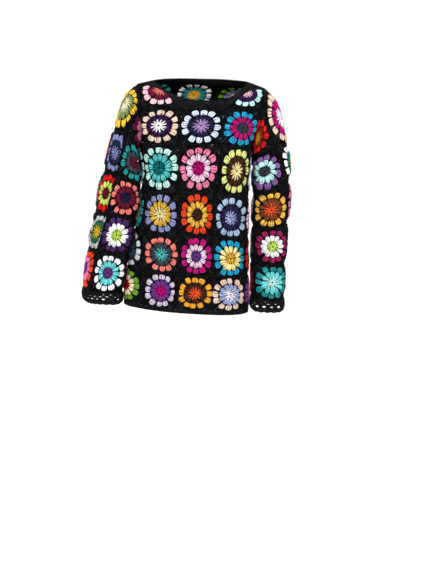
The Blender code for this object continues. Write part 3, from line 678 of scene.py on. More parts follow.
class Crochet:
    """Stitches gathered into one piece, with their yarn colours and painted light and shade, and
    maps.
    """

    def __init__(self):
        self.batches = []
        self.count = 0

    def lay(self, form, strand, path, width, height, colour, at, scale, foot=1.0,
            light=1.0, inside=False):
        """Copies of a strand, bent along paths in metres and laid on a form.

        at is the place of the paths' origin, scale how many columns and rows make a
        metre there, foot how dark painted shade makes a strand where it is worked in,
        and light how much painted highlight brightens it. inside lays them on the
        cloth's inner face."""
        points = strand.copies(path, np.asarray(width), np.asarray(height))
        if inside:
            points = points * (-1, 1, -1) + (0, 0, CLOTH_IN)
        copies, size = points.shape[:2]
        turn, row = (np.broadcast_to(np.asarray(value, float).reshape(-1, 1),
                                     (copies, size)) for value in at)
        placed = form.read((turn + points[..., 0] * scale[0]).ravel(),
                           (row - points[..., 1] * scale[1]).ravel(),
                           points[..., 2].ravel()).reshape(points.shape)
        # Painted light and shade: each strand lighter on its top, darker at its sides and feet.
        lit = np.clip(TOP_LIGHT * strand.above + EVEN_LIGHT, 0, 1)
        shade = (SIDE_SHADE + (1 - SIDE_SHADE) * lit) * rng.uniform(*STRAND_SHADES,
                                                                    (copies, 1)) * light
        out = np.minimum(2 * strand.ring / (strand.rings - 1), 1)
        shade = shade * (foot + (1 - foot) * out)
        colours = np.broadcast_to(colour, (copies, 3))[:, None] * shade[..., None]
        length = np.linalg.norm(np.diff(path, axis=1), axis=2)
        along = np.concatenate([np.zeros((copies, 1)), np.cumsum(length, axis=1)], axis=1)
        along = along + rng.uniform(0, PLY_SHIFT, (copies, 1))
        yarn = np.stack([np.broadcast_to(strand.around, (copies, len(strand.around))),
                         along[:, strand.ring[strand.corners]]], axis=2)
        self.batches.append((strand, placed, colours, yarn))
        self.count += copies

    def made(self, name, material):
        """The stitches as one mesh object."""
        points, corners, sizes, colours, yarns, maps = [], [], [], [], [], []
        cells = math.ceil(math.sqrt(self.count))
        first, used = 0, 0
        for strand, placed, colour, yarn in self.batches:
            copies, size = placed.shape[:2]
            starts = first + np.arange(copies)[:, None] * size
            corners.append((starts + strand.corners).ravel())
            sizes.append(np.tile(strand.sizes, copies))
            points.append(placed.reshape(-1, 3))
            colours.append(colour[:, strand.corners].reshape(-1, 3))
            yarns.append(yarn.reshape(-1, 2))
            cell = used + np.arange(copies)
            corner = np.stack([cell % cells, cell // cells], axis=1)[:, None]
            maps.append(((corner + strand.map) / cells).reshape(-1, 2))
            first += copies * size
            used += copies
        return mesh_piece(name, material, *(np.concatenate(part) for part in (
            points, corners, sizes, colours, yarns, maps)))


def mesh_piece(name, material, points, corners, sizes, colours, yarns, maps):
    """A mesh object from its points, the corners of its faces, and what each bears."""
    mesh = bpy.data.meshes.new(name)
    mesh.vertices.add(len(points))
    mesh.vertices.foreach_set("co", points.astype(np.float32).ravel())
    mesh.loops.add(len(corners))
    mesh.loops.foreach_set("vertex_index", corners.astype(np.int32))
    mesh.polygons.add(len(sizes))
    mesh.polygons.foreach_set("loop_start", np.r_[0, np.cumsum(sizes)[:-1]].astype(np.int32))
    for label, values in (("OFBake", maps), ("yarn", yarns)):
        if values is not None:
            layer = mesh.uv_layers.new(name=label)
            layer.uv.foreach_set("vector", values.astype(np.float32).ravel())
    paint = mesh.color_attributes.new("yarn_colour_and_painted_shade", "FLOAT_COLOR", "CORNER")
    rgba = np.concatenate([colours, np.ones((len(colours), 1))], axis=1)
    paint.data.foreach_set("color", rgba.astype(np.float32).ravel())
    mesh.update(calc_edges=True)
    mesh.validate()
    mesh.shade_smooth()
    mesh.materials.append(material)
    piece = bpy.data.objects.new(name, mesh)
    bpy.context.scene.collection.objects.link(piece)
    return piece


# ---------------------------------------------------------------- one square's stitches
CENTRE, MIDDLE, PETALS, BLACK = range(4)     # a square's yarns
FOOT_SHADES = (0.85, 0.60, 0.66, 1.0)        # painted shade: how dark each yarn's strands are at their feet
CLUSTERS = 12            # in each coloured round
QUARTERS = 90 * np.arange(4)
PETAL_ANGLES = np.radians(np.add.outer(QUARTERS, (-29, 0, 29)).ravel())
GAP_ANGLES = np.radians(np.add.outer(QUARTERS, (-45, -14.5, 14.5)).ravel())
CORNERING = 0.45         # how square the outer rounds are, 0 for a circle
CORNERING_FROM, CORNERING_OVER = 0.18, 0.24  # how far out they grow square
OUTLINE = 0.495          # half of a square's side, as a share of the side
# Where its rounds start and end, from its middle, as shares of its side.
RAY_FOOT, RAY_TOPS = 0.030, (0.160, 0.202)
MIDDLE_FOOT, MIDDLE_TOP = 0.140, 0.280
PETAL_FOOT, PETAL_WRAP, PETAL_TOP = 0.298, 0.352, 0.408
GAP_FOOT, LAST_ROUND, CORNER_POST = 0.300, 0.442, 0.580
LAST_FOOT, LAST_TOP, LAST_SPREAD = LAST_ROUND - 0.012, OUTLINE - 0.008, OUTLINE - 0.006
# Half widths and half heights of its strands.
RAY_SIZE, HOLE_SIZE = (0.0011, 0.0011), (0.0010, 0.0011)
POST_SIZE, POST_LOOP_SIZE = (0.0019, 0.0016), (0.0013, 0.0012)
PETAL_SIZE, PETAL_LOOP_SIZE, WRAP_SIZE = (0.0028, 0.0020), (0.0017, 0.0017), (0.0012, 0.0011)
GAP_SIZE, CORNER_SIZE, CHAIN_SIZE = (0.0024, 0.0015), (0.0034, 0.0014), (0.0014, 0.0013)
# Half of the angles that the loops over its clusters take up.
POST_ARC, PETAL_ARC, WRAP_ARC = 0.150, 0.155, 0.145
# How far its rounds are turned, and how far their stitches stray from them, in radians.
CENTRE_TURN, MIDDLE_TURN, OUTER_TURN = 0.25, 0.10, 0.05
RAY_STRAY, MIDDLE_STRAY, PETAL_STRAY, WRAP_STRAY = 0.03, 0.02, 0.026, 0.02
# How far their tops stray, as shares of its side, and how plump its petals are.
TOP_STRAY, WRAP_TOP_STRAY, MIDDLE_TOP_RANGE = 0.006, 0.008, (-0.008, 0.014)
PLUMPNESS = (0.9, 1.1)
UNEVEN = (0.0006, 0.0006, 0.0003)            # how far strands stray from their places
ARCH_FROM, ARCH_OVER = 0.12, 0.76            # which part of an arch a strand's height takes
POSTS_PER_SIDE = 12      # in its black last round
POST_WIDTH, POST_WIDENING, POST_HEIGHT = 0.0019, 0.0010, 0.0012   # wider towards its corners
POST_SPREAD, FOOT_SPREAD = 0.97, 0.96        # how much of a side their tops and feet take up
# A half square keeps strands with this share inside its cut side, and tucks them in so far.
TUCK_SHARE, TUCK = 0.45, 0.9
# How deep the slits in a square's upright and level seams are, by row, as its shares.
SLITS = {0: (0.004, 0.004), 1: (0.022, 0.006), 2: (0.020, 0.007), 3: (0.008, 0.004)}
CLOSED_SLITS = (0.003, 0.002)
SLIT_MIDDLE, SLIT_LENGTH = 0.68, 0.18        # as shares of half a side


def round_place(reach, angle):
    """A place in a square's rounds, which grow from circles to rounded squares."""
    share = np.clip((reach - CORNERING_FROM) / CORNERING_OVER, 0, 1)
    power = 2 + CORNERING * share * share * (3 - 2 * share)
    reach = reach * (np.abs(np.cos(angle)) ** power
                     + np.abs(np.sin(angle)) ** power) ** (-1 / power)
    return reach * np.cos(angle) * SQUARE, reach * np.sin(angle) * SQUARE


def quarter_turned(x, y, quarter):
    """Places on a square, turned by quarters about its middle."""
    turn = quarter * math.pi / 2
    return x * np.cos(turn) - y * np.sin(turn), x * np.sin(turn) + y * np.cos(turn)


def radial(strand, angles, reaches, shifts, heights, swell=0.0):
    """Paths out from a square's centre, at angles.

    reaches are how far out each foot and top is, shifts how far to one side in metres,
    heights the least and the most, and swell how far the path bends aside."""
    t = strand.stations()
    angles = np.asarray(angles)[:, None]
    (foot, top), (foot_shift, top_shift), (low, high) = reaches, shifts, heights
    x, y = round_place(foot + (top - foot) * t, angles)
    shift = foot_shift * (1 - t) + top_shift * t + swell * np.sin(math.pi * t)
    z = low + (high - low) * np.sin(math.pi * (ARCH_FROM + ARCH_OVER * t)) + 0 * x
    return np.stack([x - shift * np.sin(angles), y + shift * np.cos(angles), z], axis=2)


def crosswise(strand, angles, reach, half_angle, heights, bow):
    """Paths along a round, over the top of a cluster of stitches, bowed outward."""
    t = strand.stations()
    low, high = heights
    turned = np.asarray(angles)[:, None] + half_angle * (2 * t - 1)
    x, y = round_place(reach - bow * (2 * t - 1) ** 2 + 0 * turned, turned)
    z = low + (high - low) * np.sin(math.pi * t) + 0 * x
    return np.stack([x, y, z], axis=2)


def outline_inset(along, quarter, slits):
    """How far a square's outline draws in along a side, where a seam gapes in a slit.

    slits are the depths on its upright sides, quarters 0 and 2, and on its level ones."""
    depth = np.where(quarter % 2 == 0, slits[0], slits[1])
    return depth * np.exp(-((np.abs(along) - SLIT_MIDDLE) / SLIT_LENGTH) ** 4)


def coloured_paths(turned):
    """The coloured rounds of a square: strand, paths, width, height and yarn."""
    centre_turn = rng.uniform(-CENTRE_TURN, CENTRE_TURN)
    middle_turn = rng.uniform(-MIDDLE_TURN, MIDDLE_TURN)
    middle_top = MIDDLE_TOP + rng.uniform(*MIDDLE_TOP_RANGE)
    petals = PETAL_ANGLES + turned + rng.normal(0, PETAL_STRAY, CLUSTERS)
    petal_top = PETAL_TOP + rng.normal(0, TOP_STRAY, (CLUSTERS, 1))
    plump = rng.uniform(*PLUMPNESS, (CLUSTERS, 1))
    middles = PETAL_ANGLES + middle_turn + rng.normal(0, MIDDLE_STRAY, CLUSTERS)
    rays = (np.arange(CLUSTERS) * math.tau / CLUSTERS + centre_turn
            + rng.normal(0, RAY_STRAY, CLUSTERS))
    ray_top = rng.uniform(*RAY_TOPS) + rng.normal(0, TOP_STRAY, (CLUSTERS, 1))
    paths = []
    for side in (-1, 1):
        ray = radial(SLIM, rays, reaches=(RAY_FOOT, ray_top),
                     shifts=(0.0007 * side, 0.0010 * side), heights=(0.0014, 0.0034))
        paths.append((SLIM, ray, *RAY_SIZE, CENTRE))
    for side in (-1, 0, 1):
        outer = abs(side)
        post = radial(PLUMP, middles, reaches=(MIDDLE_FOOT, middle_top - 0.008 * outer),
                      shifts=(0.0022 * side, 0.0044 * side),
                      heights=(0.0004, 0.0030 - 0.0005 * outer), swell=0.0006 * side)
        petal = radial(STOUT, petals, reaches=(PETAL_FOOT, petal_top - 0.004 * outer),
                       shifts=(0.0047 * side, 0.0056 * side * plump),
                       heights=(0.0004, 0.0032 - 0.0004 * outer), swell=0.0010 * side)
        paths.append((PLUMP, post, *POST_SIZE, MIDDLE))
        paths.append((STOUT, petal, *PETAL_SIZE, PETALS))
    wrap = PETAL_WRAP + rng.normal(0, WRAP_TOP_STRAY, (CLUSTERS, 1))
    wrapped = petals + rng.normal(0, WRAP_STRAY, CLUSTERS)
    post_loop = crosswise(LOOP, middles, middle_top + 0.003, POST_ARC,
                          heights=(0.0010, 0.0034), bow=0.008)
    petal_loop = crosswise(PLUMP, petals, petal_top + 0.008, PETAL_ARC * plump,
                           heights=(0.0014, 0.0036), bow=0.011)
    petal_wrap = crosswise(LOOP, wrapped, wrap, WRAP_ARC,
                           heights=(0.0016, 0.0040), bow=-0.012)
    paths += [(LOOP, post_loop, *POST_LOOP_SIZE, MIDDLE),
              (PLUMP, petal_loop, *PETAL_LOOP_SIZE, PETALS),
              (LOOP, petal_wrap, *WRAP_SIZE, PETALS)]
    paths = [(strand, path + rng.normal(0, UNEVEN, (len(path), 1, 3)), *rest)
             for strand, path, *rest in paths]
    ring = np.linspace(0, math.tau, RING.rings)
    hole = RAY_FOOT * SQUARE
    ring = np.stack([hole * np.cos(ring), hole * np.sin(ring), 0.0015 + 0 * ring], axis=1)
    return paths + [(RING, ring[None], *HOLE_SIZE, CENTRE)]


def black_paths(turned, slit, cut):
    """The black round of a square: strand, paths, width, height and painted highlight,
    None where each strand draws its own painted glint. A half square's corners take
    painted glints as its other posts do."""
    gaps = radial(SLIM, GAP_ANGLES + turned, reaches=(GAP_FOOT, LAST_ROUND), shifts=(0, 0),
                  heights=(0.0, 0.0016))
    paths = [(SLIM, gaps, *GAP_SIZE, None)]
    t = SLIM.stations()
    half = POSTS_PER_SIDE / 2
    along = (np.arange(POSTS_PER_SIDE) - (half - 0.5)) / half * POST_SPREAD
    foot_angle = along * math.pi / 4 * FOOT_SPREAD
    foot_x, foot_y = round_place(LAST_FOOT + 0 * foot_angle, foot_angle)
    top_y = along * LAST_SPREAD * SQUARE
    width = POST_WIDTH + POST_WIDENING * np.abs(along) ** 3
    for quarter in range(4):
        top_x = (LAST_TOP - outline_inset(along, quarter, slit)) * SQUARE
        x = foot_x[:, None] * (1 - t) + top_x[:, None] * t
        y = foot_y[:, None] * (1 - t) + top_y[:, None] * t
        z = 0.0002 + 0.0012 * np.sin(math.pi * t) + 0 * x
        posts = np.stack([*quarter_turned(x, y, quarter), z], axis=2)
        paths.append((SLIM, posts, width[:, None], POST_HEIGHT, None))
    corners = radial(SLIM, math.pi / 4 * np.array((1, 3, 5, 7)),
                     reaches=(LAST_ROUND - 0.010, CORNER_POST), shifts=(0, 0),
                     heights=(0.0002, 0.0016))
    around = np.linspace(0, 4, CHAIN.rings)
    along = 2 * (around % 1) - 1
    beads = np.arange(CHAIN.rings) % 2
    reach = (OUTLINE - outline_inset(along, np.floor(around), slit)) * SQUARE
    x, y = quarter_turned(reach - 0.0007 * beads, along * OUTLINE * SQUARE, np.floor(around))
    chain = np.stack([x, y, 0.0008 + 0.0004 * beads], axis=1)[None]
    return paths + [(SLIM, corners, *CORNER_SIZE, None if cut else POST_LIGHT),
                    (CHAIN, chain, *CHAIN_SIZE, CHAIN_LIGHT)]


def tucked(path, width, cut):
    """A half square's stitches: what lies past its cut side is dropped or tucked in."""
    past = (path[..., 1] - cut * path[..., 0]) / math.sqrt(2)
    kept = (past < 0).mean(axis=1) > TUCK_SHARE
    back = np.where(past > 0, TUCK * past / math.sqrt(2), 0)
    path = path + np.stack([cut * back, -back, 0 * back], axis=2)
    return path[kept], width[kept] if np.ndim(width) else width


def lay_square(stitches, form, turn, row, words, across=1, cut=0, growth=USUAL_GROWTH):
    """Lay one square's stitches on a form, in the yarns that words name."""
    yarns = [PALETTE[word] for word in words.split()] + [PALETTE["black"]]
    turned = rng.uniform(-OUTER_TURN, OUTER_TURN)
    layers = [(strand, path * (*growth, 1), width, height, yarn, 1.0)
              for strand, path, width, height, yarn in coloured_paths(turned)]
    slit = SLITS.get(row, CLOSED_SLITS)
    layers += [(strand, path, width, height, BLACK, light)
               for strand, path, width, height, light in black_paths(turned, slit, cut)]
    for strand, path, width, height, yarn, light in layers:
        if cut:
            path, width = tucked(path, width, cut)
        # Black strands take painted glints, or the painted highlight given for their kind.
        if yarn == BLACK:
            drawn = painted_black_glints(len(path))
            light = drawn if light is None else light
        if len(path) > 0:
            stitches.lay(form, strand, path, width, height, yarns[yarn], (turn, row + 0.5),
                         (across / SQUARE, 1 / SQUARE), FOOT_SHADES[yarn], light)


# Flatter stitches on the cloth's inner face: each round's foot, top, the places of its
# strands beside their middle in metres, and their width.
INSIDE_ROUNDS = {CENTRE: (RAY_FOOT, 0.165, (-0.0009, 0.0009), 0.0013),
                 MIDDLE: (0.150, 0.285, (-0.0022, 0.0022), 0.0023),
                 PETALS: (0.300, 0.410, (-0.0048, 0.0, 0.0048), 0.0026)}


def lay_inside(stitches, form, turn, row, words):
    """The inner face of one square, where it shows through the neck."""
    angles = PETAL_ANGLES + rng.normal(0, RAY_STRAY, CLUSTERS)
    for yarn, word in enumerate(words.split()):
        foot, top, shifts, width = INSIDE_ROUNDS[yarn]
        for shift in shifts:
            path = radial(SLIM, angles, reaches=(foot, top),
                          shifts=(shift * 0.8, shift * 1.15), heights=(0.0002, 0.0014))
            path = path + rng.normal(0, UNEVEN, (CLUSTERS, 1, 3))
            stitches.lay(form, SLIM, path, width, 0.0012, PALETTE[word], (turn, row + 0.5),
                         (1 / SQUARE, 1 / SQUARE), FOOT_SHADES[yarn], inside=True)


# ---------------------------------------------------------------- cloth under the stitches
# How far out a square's cloth changes from one yarn to the next, and the yarns.
GROUND_REACHES = (0.030, 0.105, 0.165, 0.262, 0.338, 0.402)
GROUND_YARNS = (CENTRE, CENTRE, MIDDLE, BLACK, PETALS, BLACK, BLACK)
CENTRE_BANDS, PETAL_BANDS, LAST_BAND = (0, 1), (3, 4), 5      # numbers of those bands
# A quarter's nine sectors: three times a cluster and the two halves of the gap after it.
# The last one starts at the corner.
GROUND_ANGLES = np.radians(np.add.outer(QUARTERS, ((-38.5, -19.5, -14.5), (-9.5, 9.5, 14.5),
                                                   (19.5, 38.5, 45))).ravel())
# Painted shade on a square's cloth: dark outer face, darker centre, dimmed inner face.
OUTER_SHADE, CENTRE_SHADE, INNER_SHADE = 0.15, 0.6, 0.40
OPEN_CORNERS = (1, 2)    # rows where the rounds leave a small hole in each corner


def backs_and_rims(faces, count):
    """What makes a sheet of count points a thin closed wall: its back and its rims."""
    used = {edge for face in faces for edge in zip(face, face[1:] + face[:1])}
    backs = [[corner + count for corner in reversed(face)] for face in faces]
    return backs, sorted([b, a, a + count, b + count] for a, b in used
                         if (b, a) not in used)


def cloth_piece(name, material, form, patches):
    """A thin cloth of patches: places in turn and row, faces, and the faces' colours."""
    points, corners, sizes, colours, yarns = [], [], [], [], []
    first = 0
    for places, faces, face_colours, inner_colours in patches:
        count = len(places)
        for height in (CLOTH_OUT, CLOTH_IN):
            points.append(form.read(places[:, 0], places[:, 1], np.full(count, height)))
        backs, rims = backs_and_rims(faces, count)
        shades = np.concatenate([face_colours, inner_colours,
                                 np.tile(PALETTE["black"], (len(rims), 1))])
        for face, shade in zip(faces + backs + rims, shades):
            corners.extend(corner + first for corner in face)
            sizes.append(len(face))
            colours.extend([shade] * len(face))
            yarns.extend(places[corner % count] * SQUARE for corner in face)
        first += 2 * count
    return mesh_piece(name, material, np.concatenate(points), np.array(corners),
                      np.array(sizes), np.array(colours), np.array(yarns), None)


def ground_square(turn, row, words, across=1, cut=0, growth=USUAL_GROWTH):
    """One square's cloth: rounds about a hole, open between its clusters of stitches."""
    yarns = np.array([PALETTE[word] for word in words.split()] + [PALETTE["black"]])
    cosine, sine = np.cos(GROUND_ANGLES), np.sin(GROUND_ANGLES)
    rounds = [np.stack(round_place(reach + 0 * GROUND_ANGLES, GROUND_ANGLES), axis=1) * growth
              for reach in GROUND_REACHES]
    longest = np.maximum(np.abs(cosine), np.abs(sine))
    along = np.minimum(np.abs(cosine), np.abs(sine)) / longest
    quarter = (np.abs(sine) > np.abs(cosine) + 1e-6).astype(int)
    inset = outline_inset(along, quarter, SLITS.get(row, CLOSED_SLITS))
    reach = (OUTLINE - inset) * SQUARE / longest
    outline = np.stack([reach * cosine, reach * sine], axis=1)
    rounds += [(rounds[-1] + outline) / 2, outline]
    places = np.concatenate(rounds)
    count = len(GROUND_ANGLES)
    faces, outer, inner = [], [], []
    for band, yarn in enumerate(GROUND_YARNS):
        for sector in range(count):
            at_corner = sector % 9 == 8 and row in OPEN_CORNERS
            if at_corner and band == LAST_BAND:
                continue
            a, b = band * count + sector, band * count + (sector + 1) % count
            face = [a, a + count, b + count, b]
            if cut and all(places[i, 1] > cut * places[i, 0] for i in face):
                continue
            # Between petals the cloth is black: the last round's black yarn, and painted shade
            # in the gaps.
            between_petals = sector % 3 > 0 and band in PETAL_BANDS
            colour = yarns[BLACK if between_petals else yarn]
            faces.append(face)
            deep = CENTRE_SHADE if band in CENTRE_BANDS else 1
            outer.append(colour * (OUTER_SHADE * deep))
            inner.append(colour * INNER_SHADE)
    if cut:
        past = np.maximum(places[:, 1] - cut * places[:, 0], 0) / 2
        places = places + np.stack([cut * past, -past], axis=1)
    else:
        faces.append(list(range(count)))         # a black face closing the centre's hole, painted shade where it looks dark
        outer.append(yarns[BLACK])
        inner.append(yarns[CENTRE] * INNER_SHADE)
    places = np.stack([turn + across * places[:, 0] / SQUARE,
                       row + 0.5 - places[:, 1] / SQUARE], axis=1)
    return places, faces, np.array(outer), np.array(inner)


def black_patch(places, faces):
    """A patch of plain black cloth."""
    shades = np.tile(PALETTE["black"], (len(faces), 1))
    return places, faces, shades, shades


def ring_patch(turns, levels, stations, steps):
    """A band of black cloth all round, between levels."""
    across = np.linspace(*turns, stations, endpoint=False)
    down = np.linspace(*levels, steps + 1)
    places = np.stack([np.tile(across, len(down)), np.repeat(down, stations)], axis=1)
    faces = []
    for first in range(0, steps * stations, stations):
        for i in range(stations):
            a, b = first + i, first + (i + 1) % stations
            faces.append([a + stations, b + stations, b, a])
    return black_patch(places, faces)


# ---------------------------------------------------------------- the bands
NECK_DEPTH, NECK_ROUNDS, NECK_STITCHES = 0.032, 5, 150
NECK_STITCH, HEM_STITCH, CUFF_STITCH = 0.0056, 0.0055, 0.0060     # widths of a stitch
NECK_PICOTS, PICOT_WIDTH = 112, 0.0046       # the small loops along its edge
HEM_ROUNDS, HEM_STITCHES = 3, 176


def same_for(count, path):
    """One path, for each of a count of strands."""
    return path + np.zeros((count, 1, 1))


def v_stitches(stitches, form, per_round, rounds, turns, levels, size):
    """Black V stitches all round: how many to a round and how many rounds, the turns and
    levels that they run between, and the width and height of one stitch."""
    t = SLIM.stations()
    wide, tall = size
    rows = np.linspace(*levels, rounds + 1)
    scale = ((turns[1] - turns[0]) / per_round / wide, (rows[0] - rows[1]) / tall)
    for number, level in enumerate(rows[:-1]):
        stagger = 0.5 * (number % 2)
        at = turns[0] + (np.arange(per_round) + stagger) / per_round * (turns[1] - turns[0])
        for arm in (-1, 1):
            path = same_for(per_round, np.stack([arm * wide * (0.10 + 0.34 * t),
                                                 tall * (-0.08 + 1.14 * t),
                                                 0.0006 + 0.0009 * np.sin(math.pi * t)],
                                                axis=1))
            path[..., 0] += rng.normal(0, 0.04 * wide, (per_round, 1))
            stitches.lay(form, SLIM, path, 0.24 * wide, 0.0011, PALETTE["black"],
                         (at, np.full(per_round, level)), scale, light=painted_black_glints(per_round))


def make_neckband():
    """Dense rounds of stitches, with a fine edge of picots."""
    stitches = Crochet()
    v_stitches(stitches, neck, NECK_STITCHES, NECK_ROUNDS, (0, 2), (-0.06, 0.96),
               (NECK_STITCH, NECK_DEPTH / NECK_ROUNDS))
    t = LOOP.stations()
    picot = np.stack([0.0019 * np.cos(math.pi * (1 - t)),
                      -0.0004 + 0.0026 * np.sin(math.pi * t), 0.0003 + 0 * t], axis=1)
    at = (np.arange(NECK_PICOTS) + 0.5) * 2 / NECK_PICOTS
    stitches.lay(neck, LOOP, same_for(NECK_PICOTS, picot), 0.0011, 0.0012, PALETTE["black"],
                 (at, np.ones(NECK_PICOTS)), (2 / NECK_PICOTS / PICOT_WIDTH, -1 / NECK_DEPTH))
    cloth = cloth_piece("neckband_cloth", black_crochet, neck,
                        [ring_patch((0, 2), (1.0, 0.0), 120, 5)])
    return stitches.made("neckband_stitches", black_crochet), cloth


def make_hem():
    """A narrow band of stitches round the lower edge."""
    stitches = Crochet()
    v_stitches(stitches, hem, HEM_STITCHES, HEM_ROUNDS, (-4, 4), (1.0, -0.04),
               (HEM_STITCH, HEM_DEPTH / HEM_ROUNDS))
    cloth = cloth_piece("hem_cloth", black_crochet, hem,
                        [ring_patch((-4, 4), (0.03, 1.0), 128, 2)])
    return stitches.made("hem_stitches", black_crochet), cloth


# ---------------------------------------------------------------- lace cuffs
EYES = 20                # small holes in each of the three rows round a cuff
EYE_PITCH = 4 / EYES
EYE_WIDTH = EYE_PITCH * SQUARE
TIE = Strand(5, 5)
# Levels where the top band ends, and where the shells start, end, and are scalloped to.
TOP_BAND, SHELL_TOP, SHELL_EDGE, SCALLOP = 0.03, 0.56, 0.88, 0.07
# Each row's top and bottom levels, how wide its holes gape, and its stagger in pitches.
EYE_ROWS = ((TOP_BAND, 0.17, 0.050, 0.0), (0.17, 0.32, 0.055, 0.5),
            (0.32, SHELL_TOP, 0.095, 0.0))
EYE_REACH, EYE_STEP = 0.29, 0.090            # half widths of a hole and its rounds, by pitch
EYE_GAPES, EYE_ROUNDS = (0.2, 1.05), 3       # how unevenly holes gape, and strands round one
SHELL_STRANDS, CUFF_STITCHES = 8, 80
CELL_X = np.array((0.5, 0.5, 0.25, 0, -0.25, -0.5, -0.5, -0.5, -0.25, 0, 0.25, 0.5))
CELL_Y = np.array((0, 1, 1, 1, 1, 1, 0, -1, -1, -1, -1, -1))


def make_cuff(side):
    """A lace cuff: a round of V stitches, three staggered rows of small eyes with strands
    round them, and a scalloped row of shells."""
    form, name, across = cuffs[side], "cuff_" + SIDE_NAMES[side], -side
    stitches, patches = Crochet(), []

    def lay(strand, path, width, height, middles, light=1.0):
        stitches.lay(form, strand, path, width, height, PALETTE["black"],
                     (middles, np.zeros(EYES)), (across / SQUARE, 1 / CUFF_DEPTH), light=light)

    v_stitches(stitches, form, CUFF_STITCHES, 1, (0, 4), (TOP_BAND, -0.03),
               (CUFF_STITCH, 0.0066))
    patches.append(ring_patch((0, 4) if across > 0 else (4, 0), (0.0, TOP_BAND),
                              CUFF_STITCHES, 1))
    angle = np.linspace(0, math.tau, RING.rings)
    lens = np.sin(angle) * np.abs(np.sin(angle)) ** 0.3
    t = TIE.stations()
    for top, bottom, gape, stagger in EYE_ROWS:
        middles = (np.arange(EYES) + stagger) * EYE_PITCH
        centre, half = (top + bottom) / 2, (bottom - top) / 2
        gapes = gape * rng.uniform(*EYE_GAPES, (EYES, 1))
        for number in range(EYE_ROUNDS):
            tall = (gapes + (half - gapes) * (number + 0.35) / EYE_ROUNDS) * CUFF_DEPTH
            x = EYE_WIDTH * (EYE_REACH + EYE_STEP * number) * np.cos(angle) + 0 * tall
            y = tall * lens - centre * CUFF_DEPTH
            path = np.stack([x, y, 0.0013 - 0.0004 * number + 0 * y], axis=2)
            path = path + rng.normal(0, 0.0003, (EYES, 1, 3)) * (1, 1, 0)
            lay(RING, path, 0.0014, 0.0013, middles, painted_black_glints(EYES))
        for shift in (-0.0014, 0.0014):
            path = np.stack([EYE_WIDTH / 2 + shift * (1.6 - 1.2 * np.sin(math.pi * t)),
                             -(top + (bottom - top) * t) * CUFF_DEPTH,
                             0.0004 + 0.0016 * np.sin(math.pi * t)], axis=1)
            lay(TIE, same_for(EYES, path), 0.0015, 0.0013, middles)
        patches.extend(eye_cloth(middle, EYE_PITCH * across, (top, bottom), mouth)
                       for middle, mouth in zip(middles, gapes[:, 0]))
    middles = (np.arange(EYES) + 0.5) * EYE_PITCH
    for spread in np.linspace(-1, 1, SHELL_STRANDS):
        edge = SHELL_EDGE - SCALLOP * spread ** 2
        path = np.stack([EYE_WIDTH * spread * (0.43 + 0.05 * t),
                         -(SHELL_TOP + (edge - SHELL_TOP) * t) * CUFF_DEPTH,
                         0.0003 + 0.0018 * np.sin(math.pi * t)], axis=1)
        path = path + rng.normal(0, 0.0002, (EYES, 1, 3))
        lay(TIE, path, 0.0018, 0.0015, middles, painted_black_glints(EYES))
    spread = np.linspace(-1, 1, RING.rings)
    beads = 0.0005 * (np.arange(RING.rings) % 2)
    path = np.stack([EYE_WIDTH * 0.5 * spread,
                     -(SHELL_EDGE + 0.005 - SCALLOP * spread ** 2) * CUFF_DEPTH - beads,
                     0.0004 + beads], axis=1)
    lay(RING, same_for(EYES, path), 0.0015, 0.0015, middles)
    patches.extend(shell_cloth(middle, EYE_PITCH * across) for middle in middles)
    cloth = cloth_piece(name + "_cloth", black_lace, form, patches)
    return stitches.made(name + "_stitches", black_lace), cloth


def eye_cloth(middle, pitch, levels, gape):
    """The cloth of one cell, between its outline and the lens of its hole."""
    hole_x = np.where(CELL_Y == 0, EYE_REACH * np.sign(CELL_X), CELL_X * EYE_REACH * 1.8)
    hole_y = CELL_Y * gape * np.cos(math.pi / 2 * hole_x / EYE_REACH)
    centre, half = sum(levels) / 2, (levels[1] - levels[0]) / 2
    places = np.concatenate([
        np.stack([middle + pitch * hole_x, centre - hole_y], axis=1),
        np.stack([middle + pitch * CELL_X, centre - CELL_Y * half], axis=1)])
    count = len(CELL_X)
    return black_patch(places, [[i, i + count, (i + 1) % count + count, (i + 1) % count]
                                for i in range(count)])


def shell_cloth(middle, pitch):
    """The cloth of one shell of stitches."""
    spread = np.linspace(-1, 1, 7)
    across = middle + pitch / 2 * spread
    places = np.concatenate([np.stack([across, SHELL_EDGE - SCALLOP * spread ** 2], axis=1),
                             np.stack([across, SHELL_TOP + 0 * spread], axis=1)])
    return black_patch(places, [[i, i + 1, i + 8, i + 7] for i in range(6)])


# ---------------------------------------------------------------- finishes
class Nodes:
    """A material's nodes, and its shader."""

    def __init__(self, name):
        self.material = bpy.data.materials.new(name)
        self.material.use_nodes = True
        self.tree = self.material.node_tree
        self.shader = self.tree.nodes["Principled BSDF"]

    def add(self, kind, settings=None, **sockets):
        """A node of a kind, its settings set first, then its sockets' values or links."""
        node = self.tree.nodes.new(kind)
        for setting, value in (settings or {}).items():
            setattr(node, setting, value)
        self.fill(node, **sockets)
        return node

    def fill(self, node, **sockets):
        """Give a node's sockets, by name or as _number, their values or links."""
        for label, value in sockets.items():
            target = node.inputs[int(label[1:]) if label[1:].isdigit()
                                 else label.replace("_", " ")]
            if isinstance(value, Link):
                self.tree.links.new(value.socket, target)
            else:
                target.default_value = value

    def link(self, node, output=0):
        """A node's output, to link or to reckon with."""
        return Link(self, node.outputs[output])


